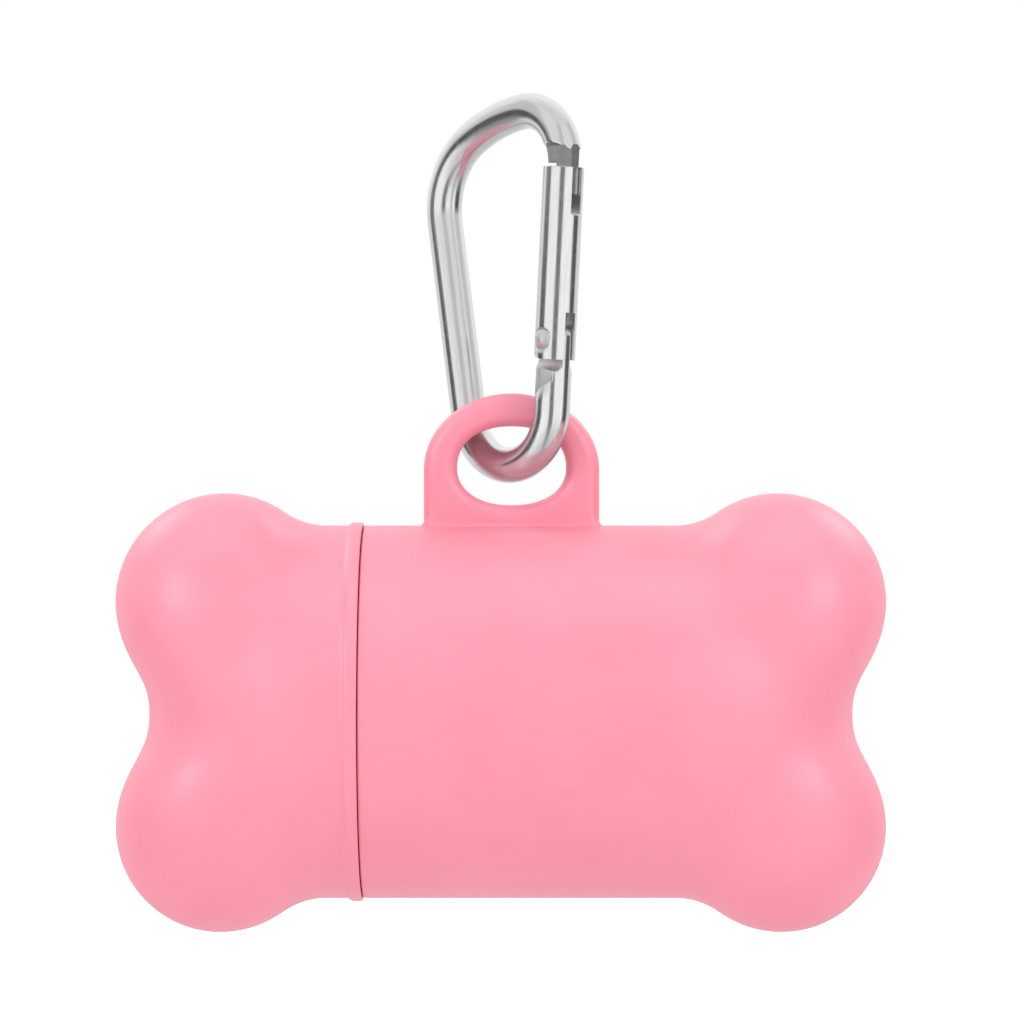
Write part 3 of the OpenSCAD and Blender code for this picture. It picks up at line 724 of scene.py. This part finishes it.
def capShape():
    radius, bore = case["radius"], case["radius"] - case["wall"]
    rim = case["seam"] + case["seamGap"]
    plugRadius = bore - plug["gap"]
    plugBore = plugRadius - plug["wall"]
    plugEnd = case["seam"] - plug["length"]
    top = radius + bead["height"]
    left = rim + bead["width"]
    outline = [(neckX + outerBall, 0)] + endRows(outerBall, case["outerRows"])[1:]
    outline += [(x, radius) for x in spread(neckX, left + 0.4, 6)]
    outline += [(left + x, radius + rise) for x, rise in bead["rise"]]
    outline += [(rim + 0.5, top), (rim + 0.3, top - 0.015)]
    rimRound = bead["rimRound"]
    outline += roundedCorner(rim + rimRound, top - bead["rimFall"] - rimRound, rimRound, 90, 180, 4)
    outline += [(rim, plugRadius)]
    ringTo = plugEnd + plug["ringBack"]
    ringFrom = ringTo - plug["ringLength"]
    ringTop = bore - plug["ringGap"]
    slope, corner, boreCorner = plug["ringSlope"], plug["round"], plug["boreRound"]
    outline += [(x, plugRadius) for x in spread(rim - 0.3, ringTo + slope, 3)]
    outline += [(ringTo, ringTop), (ringFrom, ringTop), (ringFrom - slope, plugRadius)]
    outline += roundedCorner(plugEnd + corner, plugRadius - corner, corner, 90, 180, 4)
    outline += roundedCorner(plugEnd + boreCorner, plugBore + boreCorner, boreCorner, 180, 270, 3)
    chamberFrom = case["seam"] + plug["boreEnd"]
    outline += [(x, plugBore) for x in spread(plugEnd + boreCorner, chamberFrom, 6)[1:]]
    outline += [(chamberFrom, bore), (neckX, bore)]
    outline += list(reversed(endRows(innerBall, case["innerRows"])[1:]))
    outline.append((neckX + innerBall, 0))
    bm = turnedOnX(outline, case["around"])
    shapeEnd(bm)
    depth = mouth["keyDepth"] + plug["gap"] + plug["wall"] / 2 - rib["gap"]
    low = bore + mouth["keyDepth"] - rib["gap"]
    key = boxOf(
        (case["seam"] + rib["root"] - plug["length"] / 2, 0, -low + depth / 2),
        (plug["length"], rib["width"], depth))
    bm = carve(bm, key, "UNION")
    bmesh.ops.transform(bm, matrix=Matrix.Scale(-1, 4, (1, 0, 0)), verts=bm.verts)
    bmesh.ops.reverse_faces(bm, faces=bm.faces)
    return bm


makePiece(capShape(), "endCap", "cap", "end_cap", satinPink)

roll = {"radius": 15.5, "length": 58.0, "filmEnd": 0.22, "filmAngle": 38.0, "core": 6.6, "coreWall": 0.9,
        "coreStand": 0.5, "gap": 0.15, "layers": 26, "filmFrom": 150.0, "ripple": 0.03, "around": 128,
        "coreAround": 96, "fit": 0.02}
plugBoreRadius = case["radius"] - case["wall"] - plug["gap"] - plug["wall"]
rollDrop = plugBoreRadius - roll["radius"] - roll["filmEnd"] - roll["gap"]


def filmShape():
    half, core, outer = roll["length"] / 2, roll["core"] + roll["fit"], roll["radius"]
    step = (outer - core) / roll["layers"]
    left = []
    for k in range(roll["layers"]):
        low = core + k * step
        dip = 0.05 + 0.08 * ((k * 7) % 5) / 5
        left += [(-half + dip, low + step * 0.1), (-half, low + step * 0.3), (-half, low + step * 0.8)]
    outline = left + [(-half, outer - 0.1), (-half + 0.1, outer)]
    outline += [(x, outer) for x in spread(-half + 0.6, half - 0.6, 24)]
    outline += [(half - 0.1, outer), (half, outer - 0.1)]
    outline += [(-x, r) for x, r in reversed(left)]
    bm = turnedOnX(outline, roll["around"], closed=True)
    for vert in bm.verts:  # soft ripples of the tight winding
        r = math.hypot(vert.co.y, vert.co.z)
        if r > outer - 0.05:
            a = math.atan2(vert.co.y, vert.co.z)
            waves = math.sin(3 * a + vert.co.x * 0.35) + math.sin(7 * a - vert.co.x * 0.8 + 1.3)
            dip = roll["ripple"] * (waves - 2)
            vert.co.y *= (r + dip) / r
            vert.co.z *= (r + dip) / r
    flap = bmesh.new()
    sweep = math.radians(roll["filmAngle"])
    rings = []
    for a in spread(0, sweep, 24):
        at = math.radians(roll["filmFrom"]) + a
        high = outer + roll["filmEnd"]
        tip = high - 0.1 if a > sweep * 0.97 else high
        side, root = half - 0.2, outer - 0.25
        rings.append([
            (x, r * math.sin(at), r * math.cos(at))
            for x, r in ((-side, root), (side, root), (side, tip), (-side, tip))])
    skinOver(flap, rings, closeEnds=True)
    return carve(bm, flap, "UNION")


def coreShape():
    half = roll["length"] / 2 + roll["coreStand"]
    outer, inner = roll["core"] - roll["fit"], roll["core"] - roll["coreWall"]
    outline = [(-half + 0.1, inner), (-half, inner + 0.12), (-half, outer - 0.12), (-half + 0.1, outer)]
    outline += [(x, outer) for x in spread(-half + 0.5, half - 0.5, 20)]
    outline += [(half - 0.1, outer), (half, outer - 0.12), (half, inner + 0.12), (half - 0.1, inner)]
    outline += [(x, inner) for x in spread(half - 0.5, -half + 0.5, 20)]
    return turnedOnX(outline, roll["coreAround"], closed=True)


lowered = Matrix.Translation((0, 0, -rollDrop))
makePiece(filmShape(), "bagRoll", "roll", "bag_roll", greenFilm, lowered)
makePiece(coreShape(), "rollCore", "roll", "roll_core", coreBoard, lowered)


tongueHalf = clip["tongue"] / 2
rodRadius = clip["rod"] / 2
tongueEdge = math.sqrt(rodRadius**2 - tongueHalf**2)


# Angles round the rod, among them those where the flats end
def rodAngles():
    flat = math.degrees(math.asin(tongueHalf / rodRadius))
    collar = math.degrees(math.asin(clip["collarHalf"] / rodRadius))
    nose = math.degrees(math.acos(clip["noseFlat"] / rodRadius))
    quarter = [0.0]
    for start, end, count in ((0, flat, 4), (flat, nose, 3), (nose, collar, 5), (collar, 90, 7)):
        quarter += spread(start, end, count)[1:]
    half = quarter + [180 - q for q in reversed(quarter[:-1])]
    return [math.radians(q) for q in half + [360 - q for q in reversed(half[1:-1])]]


rodTurns = [(rodRadius * math.cos(q), rodRadius * math.sin(q)) for q in rodAngles()]


# From the gate's own U, V, W to the carabiner's plane
def fromGate(u, v, w):
    at = rivetAt + gateSide * u + gateWay * v
    return at.x, at.y, w


def clampedTo(value, limit):
    return max(-limit, min(limit, value))


# Rod centreline from below the hinge round to the crown: place, and outward direction
def rodPath(crownEnd):
    path = []
    low = rivetAt - gateWay * (clip["stop"] + clip["collar"] + clip["collarFall"] * 2 * rodRadius + 0.1)
    for t in spread(0, 1, round((low - gateLow).length / clip["step"]))[:-1]:
        path.append((low.lerp(gateLow, t), gateSide))

    def bend(centre, radius, start, end):
        for a in spread(start, end, max(4, round(abs(end - start) * radius / clip["step"]))):
            out = Vector((math.cos(a), math.sin(a)))
            path.append((centre + out * radius, out))

    bend(Vector((0, 0)), clip["bendRadius"], -gateLean, -math.pi + backLean)
    lower = backOut * clip["bendRadius"]
    upper = shoulderCentre + backOut * clip["shoulderRadius"]
    for t in spread(0, 1, round((upper - lower).length / clip["step"]))[1:-1]:
        path.append((lower.lerp(upper, t), backOut))
    bend(shoulderCentre, clip["shoulderRadius"], math.pi + backLean, shoulderTo)
    path.pop()
    bend(topCentre, topRadius, shoulderTo, crownFrom)
    path.pop()
    bend(crownCentre, clip["crownRadius"], crownFrom, crownEnd)
    return path


# Tongue at the rivet, down to the round rod
def hingeRows():
    rows = []
    inset = tongueEdge - clip["camRound"]
    camFrom = clip["camHeight"] - clip["camRound"]
    heights = [(camFrom + clip["camRound"] * math.sin(a), inset + clip["camRound"] * math.cos(a))
               for a in spread(math.pi / 2, 0, 9)]
    heights += [(v, tongueEdge) for v in spread(camFrom, -clip["stop"], 3)[1:-1]]
    for v, half in heights:
        row = []
        for c, s in rodTurns:
            if abs(s) <= tongueHalf + 1e-6:
                row.append(fromGate(math.copysign(half + abs(c) - tongueEdge, c), v, s))
            else:
                row.append(fromGate(c * half / tongueEdge, v, math.copysign(tongueHalf, s)))
        rows.append(row)
    deep = clip["collarHalf"] - tongueHalf
    for a in spread(0, math.pi / 2, 5):
        limit = tongueHalf + deep * (1 - math.cos(a)) + 0.002
        fallen = clip["stop"] - clip["stopRise"] + clip["stopRound"] * math.sin(a)
        rows.append([
            fromGate(c, -fallen - clip["stopFall"] * (c + rodRadius) * math.sin(a), clampedTo(s, limit))
            for c, s in rodTurns])
    collarFrom = -clip["stop"] - clip["collar"]
    for limit in (clip["collarHalf"], rodRadius):
        rows.append([
            fromGate(c, collarFrom - clip["collarFall"] * (rodRadius - c), clampedTo(s, limit))
            for c, s in rodTurns])
    return rows


def onCrown(c, angle):
    reach = clip["crownRadius"] + c
    return reach * math.cos(angle) - clip["crownRadius"], gateTo + reach * math.sin(angle)


# Angle along the crown at which the cutter that left the flats ran out
def runOut(c, high):
    low = 0.0
    cutterAt = gateReach + clip["flatRise"] - clip["cutterRadius"]
    for _ in range(40):
        angle = (low + high) / 2
        u, v = onCrown(c, angle)
        if math.hypot(u - clip["noseInner"], v - cutterAt) < clip["cutterRadius"]:
            low = angle
        else:
            high = angle
    return low


# From the crown through the cutter's run-out to the tip of the upper tongue
def noseRows(crownEnd):
    rows = []
    ends = [runOut(c, crownEnd) for c, s in rodTurns]
    for share in spread(0, 1, 10)[1:]:
        rows.append([
            fromGate(*onCrown(c, crownEnd + (end - crownEnd) * share), s)
            for (c, s), end in zip(rodTurns, ends)])
    rows.append([
        fromGate(*onCrown(c, end), clampedTo(s, tongueHalf)) for (c, s), end in zip(rodTurns, ends)])
    outer = runOut(tongueEdge, crownEnd)
    inner = runOut(-tongueEdge, crownEnd)
    top, low, end, turnAt = gateTo, gateReach - clip["noseLength"], clip["noseInner"], clip["noseRound"]
    outerTop = onCrown(tongueEdge, outer)[1]
    pairs = []  # inner and outer end of each row, and how far its inner side is round
    for share in (0.25, 0.5, 0.75, 1.0):
        v = outerTop + (top + 0.3 - outerTop) * share
        u = math.sqrt((clip["crownRadius"] + tongueEdge) ** 2 - (v - top) ** 2) - clip["crownRadius"]
        pairs.append((onCrown(-tongueEdge, inner * (1 - share)), (u, v), 1))
    pairs.append((((end - tongueEdge) / 2, top), (tongueEdge, top + 0.05), 0))
    pairs.append(((end, top), (tongueEdge, top - 0.2), 0))
    for share in (1 / 3, 2 / 3, 1):
        v = top + (low + turnAt - top) * share
        pairs.append(((end, v), (tongueEdge, v - 0.2 * (1 - share)), 0))
    for a in spread(math.pi, 1.5 * math.pi, 5)[1:]:
        v = low + turnAt * (1 + math.sin(a))
        pairs.append(((end + turnAt * (1 + math.cos(a)), v), (tongueEdge, v), 0))
    for (iu, iv), (ou, ov), roundness in pairs:
        row = []
        for c, s in rodTurns:
            if abs(s) > tongueHalf + 1e-6:
                t = (c + tongueEdge) / (2 * tongueEdge)
                row.append(fromGate(iu + (ou - iu) * t, iv + (ov - iv) * t, math.copysign(tongueHalf, s)))
            elif c > 0:
                row.append(fromGate(ou + c - tongueEdge, ov, s))
            else:
                row.append(fromGate(iu + (c + tongueEdge) * roundness, iv, s))
        rows.append(row)
    return rows


def softenEdges(bm, width, sharper=30):
    faceOutwards(bm)
    least = math.radians(sharper)
    edges = [e for e in bm.edges if len(e.link_faces) == 2 and e.calc_face_angle_signed() > least]
    bmesh.ops.bevel(
        bm, geom=edges, offset=width, offset_type="OFFSET", segments=2, profile=0.5, affect="EDGES",
        clamp_overlap=False, material=-1)


# Block that cuts right through, from a flat outline in U and V
def blockOf(outline, low, high):
    bm = bmesh.new()
    face = bm.faces.new([bm.verts.new((u, v, low)) for u, v in outline])
    made = bmesh.ops.extrude_face_region(bm, geom=[face])["geom"]
    ends = [v for v in made if isinstance(v, bmesh.types.BMVert)]
    bmesh.ops.translate(bm, vec=(0, 0, high - low), verts=ends)
    return bm


def rodShape():
    crownEnd = math.radians(clip["crownEnd"])
    rows = hingeRows()
    for at, out in rodPath(crownEnd - gateLean):
        rows.append([(at.x + out.x * c, at.y + out.y * c, s) for c, s in rodTurns])
    rows += noseRows(crownEnd)
    bm = bmesh.new()
    skinOver(bm, rows, closeEnds=True)
    bmesh.ops.remove_doubles(bm, verts=bm.verts, dist=1e-4)
    softenEdges(bm, clip["edge"])
    flat, low, high = clip["noseFlat"], gateReach - clip["noseLength"] - 1, gateTo + 4
    block = ((flat, low), (flat + 2, low), (flat + 2, high), (flat, high))
    corners = [fromGate(u, v, 0)[:2] for u, v in block]
    bm = carve(bm, blockOf(corners, -3, 3), "DIFFERENCE", "MANIFOLD")
    hole = bmesh.new()
    bmesh.ops.create_cone(
        hole, cap_ends=True, segments=48, radius1=clip["rivetHole"], radius2=clip["rivetHole"], depth=3,
        matrix=Matrix.Translation(fromGate(0, 0, 0)))
    return carve(bm, hole, "DIFFERENCE", "MANIFOLD")


# Way round the rod and length along it, for a grain that follows the bends
def alongRod(places):
    path = rodPath(-gateLean)
    at = np.array([(p.x, p.y) for p, out in path])
    outs = np.array([(out.x, out.y) for p, out in path])
    ways = np.stack((outs[:, 1], -outs[:, 0]), axis=1)
    lengths = np.concatenate(([0], np.cumsum(np.hypot(*np.diff(at, axis=0).T))))
    off = places[:, None, :2] - at[None]
    near = np.argmin((off**2).sum(axis=2), axis=1)
    off = off[np.arange(len(places)), near]
    outwards = (off * outs[near]).sum(axis=1) / rodRadius
    along = lengths[near] + (off * ways[near]).sum(axis=1)
    return np.stack((outwards, places[:, 2] / rodRadius, along), axis=1)


rodPiece = makePiece(
    rodShape(), "carabinerRod", "carabiner", "carabiner_frame", drawnAluminium, clipPlane,
    sharpFrom=28, drawn=alongRod)

gate = {"diameter": 4.6, "tail": 2.3, "slot": 1.4, "lowerSlot": 3.3, "lowerFall": 0.3, "slotInner": -0.75,
        "slotDepth": 4.2, "slotFall": 1.1, "lip": 0.95, "bore": 1.9, "boreEnd": 13.6, "shank": 1.4,
        "seat": 2.5, "seatAt": 2.05, "edge": 0.08, "mergeWithin": 0.004, "flatWithin": 0.4, "grainFrom": 40.0,
        "around": 72}


def rodOf(radius, low, high, segments, turned=Matrix.Identity(4)):
    bm = bmesh.new()
    bmesh.ops.create_cone(
        bm, cap_ends=True, segments=segments, radius1=radius, radius2=radius, depth=high - low,
        matrix=turned @ Matrix.Translation((0, 0, (low + high) / 2)))
    return bm


def gateShape():
    alongV = Matrix.Rotation(-math.pi / 2, 4, "X")
    half, radius, reach = gate["slot"] / 2, gate["diameter"] / 2, gateReach
    bm = rodOf(radius, -gate["tail"], reach, gate["around"], alongV)
    arc = [(-radius * math.cos(a), -radius * math.sin(a)) for a in spread(0, math.pi / 2, 16)]
    bm = carve(bm, blockOf([(-4, 0)] + arc + [(0, -4), (-4, -4)], -4, 4), "DIFFERENCE")
    outside = radius + 1
    fall = gate["lowerFall"]
    low, high = gate["lowerSlot"] - fall * outside + fall, gate["lowerSlot"] + fall * outside + fall
    lower = [(-outside, -5), (outside, -5), (outside, low), (-outside, high)]
    bm = carve(bm, blockOf(lower, -half, half), "DIFFERENCE")
    fall = gate["slotFall"] * (outside - gate["lip"]) / (radius - gate["lip"])
    floor = reach - gate["slotDepth"]
    bm = carve(bm, blockOf([
        (gate["slotInner"], reach + 1), (gate["slotInner"], floor), (gate["lip"], floor),
        (outside, floor - fall), (outside, reach + 1)], -half, half), "DIFFERENCE")
    for low, high in ((gate["seatAt"], 4), (-4, -gate["seatAt"])):
        bm = carve(bm, rodOf(gate["seat"] / 2, low, high, 48), "DIFFERENCE")
    bmesh.ops.remove_doubles(bm, verts=bm.verts, dist=gate["mergeWithin"])
    bmesh.ops.dissolve_limit(
        bm, angle_limit=math.radians(gate["flatWithin"]), verts=bm.verts, edges=bm.edges)
    softenEdges(bm, gate["edge"])
    bm = carve(bm, rodOf(gate["bore"] / 2, 0, gate["boreEnd"], 48, alongV), "DIFFERENCE")
    return carve(bm, rodOf(gate["shank"] / 2, -4, 4, 48), "DIFFERENCE")


def alongGate(places):
    radius = gate["diameter"] / 2
    return np.stack((places[:, 0] / radius, places[:, 2] / radius, places[:, 1] + gate["grainFrom"]), axis=1)


gatePiece = makePiece(
    gateShape(), "gateBar", "gate", "carabiner_gate", drawnAluminium, gatePlace,
    drawn=alongGate)

rivet = {"shank": 0.7, "head": 1.15, "seat": 2.05, "dome": 0.7, "lip": 0.06, "grain": 0.2}


def rivetShape():
    ball = (rivet["head"] ** 2 + rivet["dome"] ** 2) / (2 * rivet["dome"])
    centre = rivet["seat"] + rivet["dome"] - ball
    edge = math.asin((rivet["head"] - rivet["lip"] / 2) / ball)
    side = [(centre + ball * math.cos(a), ball * math.sin(a)) for a in spread(0, edge, 14)]
    side += [(rivet["seat"] + rivet["lip"] / 2, rivet["head"]), (rivet["seat"] + 0.005, rivet["head"] - 0.02)]
    side += [(rivet["seat"] + 0.005, rivet["shank"]), (rivet["seat"] - 0.1, rivet["shank"])]
    bm = turnedOnX(side + [(-x, r) for x, r in reversed(side)], 48)
    bmesh.ops.rotate(bm, verts=bm.verts, cent=(0, 0, 0), matrix=Matrix.Rotation(-math.pi / 2, 3, "Y"))
    return bm


# Counts as milled all over
def onRivet(places):
    return alongGate(places) * (rivet["grain"], rivet["grain"], 1)


rivetPiece = makePiece(
    rivetShape(), "rivet", "gate", "gate_rivet", drawnAluminium, gatePlace,
    drawn=onRivet)
for node in ("gate_plunger", "gate_spring"):
    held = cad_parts[node]
    held.data.materials.clear()
    held.data.materials.append(pinSteel)
print("carabiner made")

studio = {
    "distance": 440.0,
    "lens": 136.9,
    "lookX": 1.24,
    "lookZ": 22.52,
    "lamps": [  # name, azimuth, elevation, size, power
        ("leftLight", -48, 26, (0.28, 0.36), 2.2),
        ("rightLight", 48, 26, (0.28, 0.36), 2.2),
        ("backLeftLight", -135, 40, (0.4, 0.4), 1.3),
        ("backRightLight", 135, 40, (0.4, 0.4), 1.3),
        ("topLight", 0, 80, (0.8, 0.5), 1.4),
    ],
    "lampDistance": 1.0,
    "aimZ": 10.0,
    "floorDrop": 42.0,
    "floorSize": 3.0,
    "floorShade": 0.9,
    "floorRough": 0.9,
    "floorGlow": 0.5,
    "ambient": 0.67,
    "calm": 0.75,
    "calmRise": (0.06, 0.2),
    "ceilingRise": (0.68, 0.8),
    "ceiling": (0.72, 1.0),
    "ceilingDepth": (-0.2, 0.6),
    "below": 0.52,
    "belowRise": (-0.7, -0.25),
    "belowShare": 0.7,
}

# What shiny pieces see round them, by the way they face: degrees from the front, and level
reflected = [
    (-180, 0.8), (-113, 0.75), (-106, 0.1), (-76, 0.1), (-69, 1.0), (-21, 1.0), (-17, 0.2), (6, 0.2),
    (10, 1.0), (69, 1.0), (76, 0.1), (106, 0.1), (113, 0.75), (180, 0.8)]


def buildStudio():
    middle = hung @ Vector((studio["lookX"], 0, studio["lookZ"]))
    camera = bpy.data.objects.new("camera", bpy.data.cameras.new("camera"))
    camera.data.lens = studio["lens"]
    camera.data.sensor_width = 36
    camera.data.clip_start = 0.01
    camera.data.clip_end = 20
    camera.location = middle + Vector((0, -studio["distance"] * mm, 0))
    camera.rotation_euler = (math.pi / 2, 0, 0)
    scene.collection.objects.link(camera)
    scene.camera = camera

    unlit = bpy.data.collections.new("unlit")  # bare metal shows only its reflections
    for metal in (rodPiece, gatePiece, rivetPiece):
        unlit.objects.link(metal)
    for entry in unlit.collection_objects:
        entry.light_linking.link_state = "EXCLUDE"

    for name, azimuth, elevation, size, power in studio["lamps"]:
        data = bpy.data.lights.new(name, "AREA")
        data.shape = "RECTANGLE"
        data.size, data.size_y = size
        data.energy = power
        lamp = bpy.data.objects.new(name, data)
        a, e = math.radians(azimuth), math.radians(elevation)
        way = Vector((math.sin(a) * math.cos(e), -math.cos(a) * math.cos(e), math.sin(e)))
        lamp.location = hung @ Vector((0, 0, studio["aimZ"])) + way * studio["lampDistance"]
        lamp.rotation_euler = way.to_track_quat("Z", "Y").to_euler()
        lamp.visible_camera = False
        lamp.light_linking.receiver_collection = unlit
        scene.collection.objects.link(lamp)

    floorZ = cadBox[0][2] - studio["floorDrop"] * mm
    bm = bmesh.new()
    bmesh.ops.create_grid(bm, x_segments=2, y_segments=2, size=studio["floorSize"])
    bmesh.ops.translate(bm, vec=(0, 0, floorZ), verts=bm.verts)
    floor = looseObject(bm, "floor")
    material, tree, shader = startMaterial("paleFloor")
    shader.inputs["Base Color"].default_value = (*(studio["floorShade"],) * 3, 1)
    shader.inputs["Roughness"].default_value = studio["floorRough"]
    shader.inputs["Emission Color"].default_value = (1, 1, 1, 1)
    ray = tree.nodes.new("ShaderNodeLightPath")
    glow = maths(tree, "MULTIPLY", ray.outputs["Is Camera Ray"], studio["floorGlow"])
    tree.links.new(glow, shader.inputs["Emission Strength"])
    floor.data.materials.append(material)
    floor.visible_glossy = False

    world = bpy.data.worlds.new("studio")
    scene.world = world
    world.use_nodes = True
    tree = world.node_tree
    background = tree.nodes["Background"]
    split = tree.nodes.new("ShaderNodeSeparateXYZ")
    tree.links.new(tree.nodes.new("ShaderNodeTexCoord").outputs["Generated"], split.inputs[0])
    azimuth = maths(tree, "ARCTAN2", split.outputs["X"], maths(tree, "MULTIPLY", split.outputs["Y"], -1.0))
    ramp = tree.nodes.new("ShaderNodeValToRGB")
    tree.links.new(maths(tree, "MULTIPLY_ADD", azimuth, 0.5 / math.pi, 0.5), ramp.inputs["Fac"])
    stops = ramp.color_ramp.elements
    while len(stops) < len(reflected):
        stops.new(0.5)
    for stop, (degrees, level) in zip(stops, reflected):
        stop.position = degrees / 360 + 0.5
        stop.color = (level, level, level, 1)

    high, deep = split.outputs["Z"], split.outputs["Y"]
    calm = rangeOf(tree, high, 0, studio["calm"], *studio["calmRise"])
    overhead = maths(tree, "MAXIMUM", calm, rangeOf(tree, high, 0, 1, *studio["ceilingRise"]))
    ceiling = rangeOf(tree, deep, *studio["ceiling"], *studio["ceilingDepth"])
    above = blendColours(tree, overhead, ramp.outputs["Color"], ceiling)
    low = rangeOf(tree, high, studio["belowShare"], 0, *studio["belowRise"])
    shiny = blendColours(tree, low, above, (studio["below"],) * 3)
    ray = tree.nodes.new("ShaderNodeLightPath")
    lit = blendColours(tree, ray.outputs["Is Glossy Ray"], (studio["ambient"],) * 3, shiny)
    seen = maths(tree, "MAXIMUM", ray.outputs["Is Camera Ray"], ray.outputs["Is Transmission Ray"])
    tree.links.new(blendColours(tree, seen, lit, (1.0, 1.0, 1.0)), background.inputs["Color"])
    scene.view_settings.view_transform = "Standard"


buildStudio()
print("studio made")
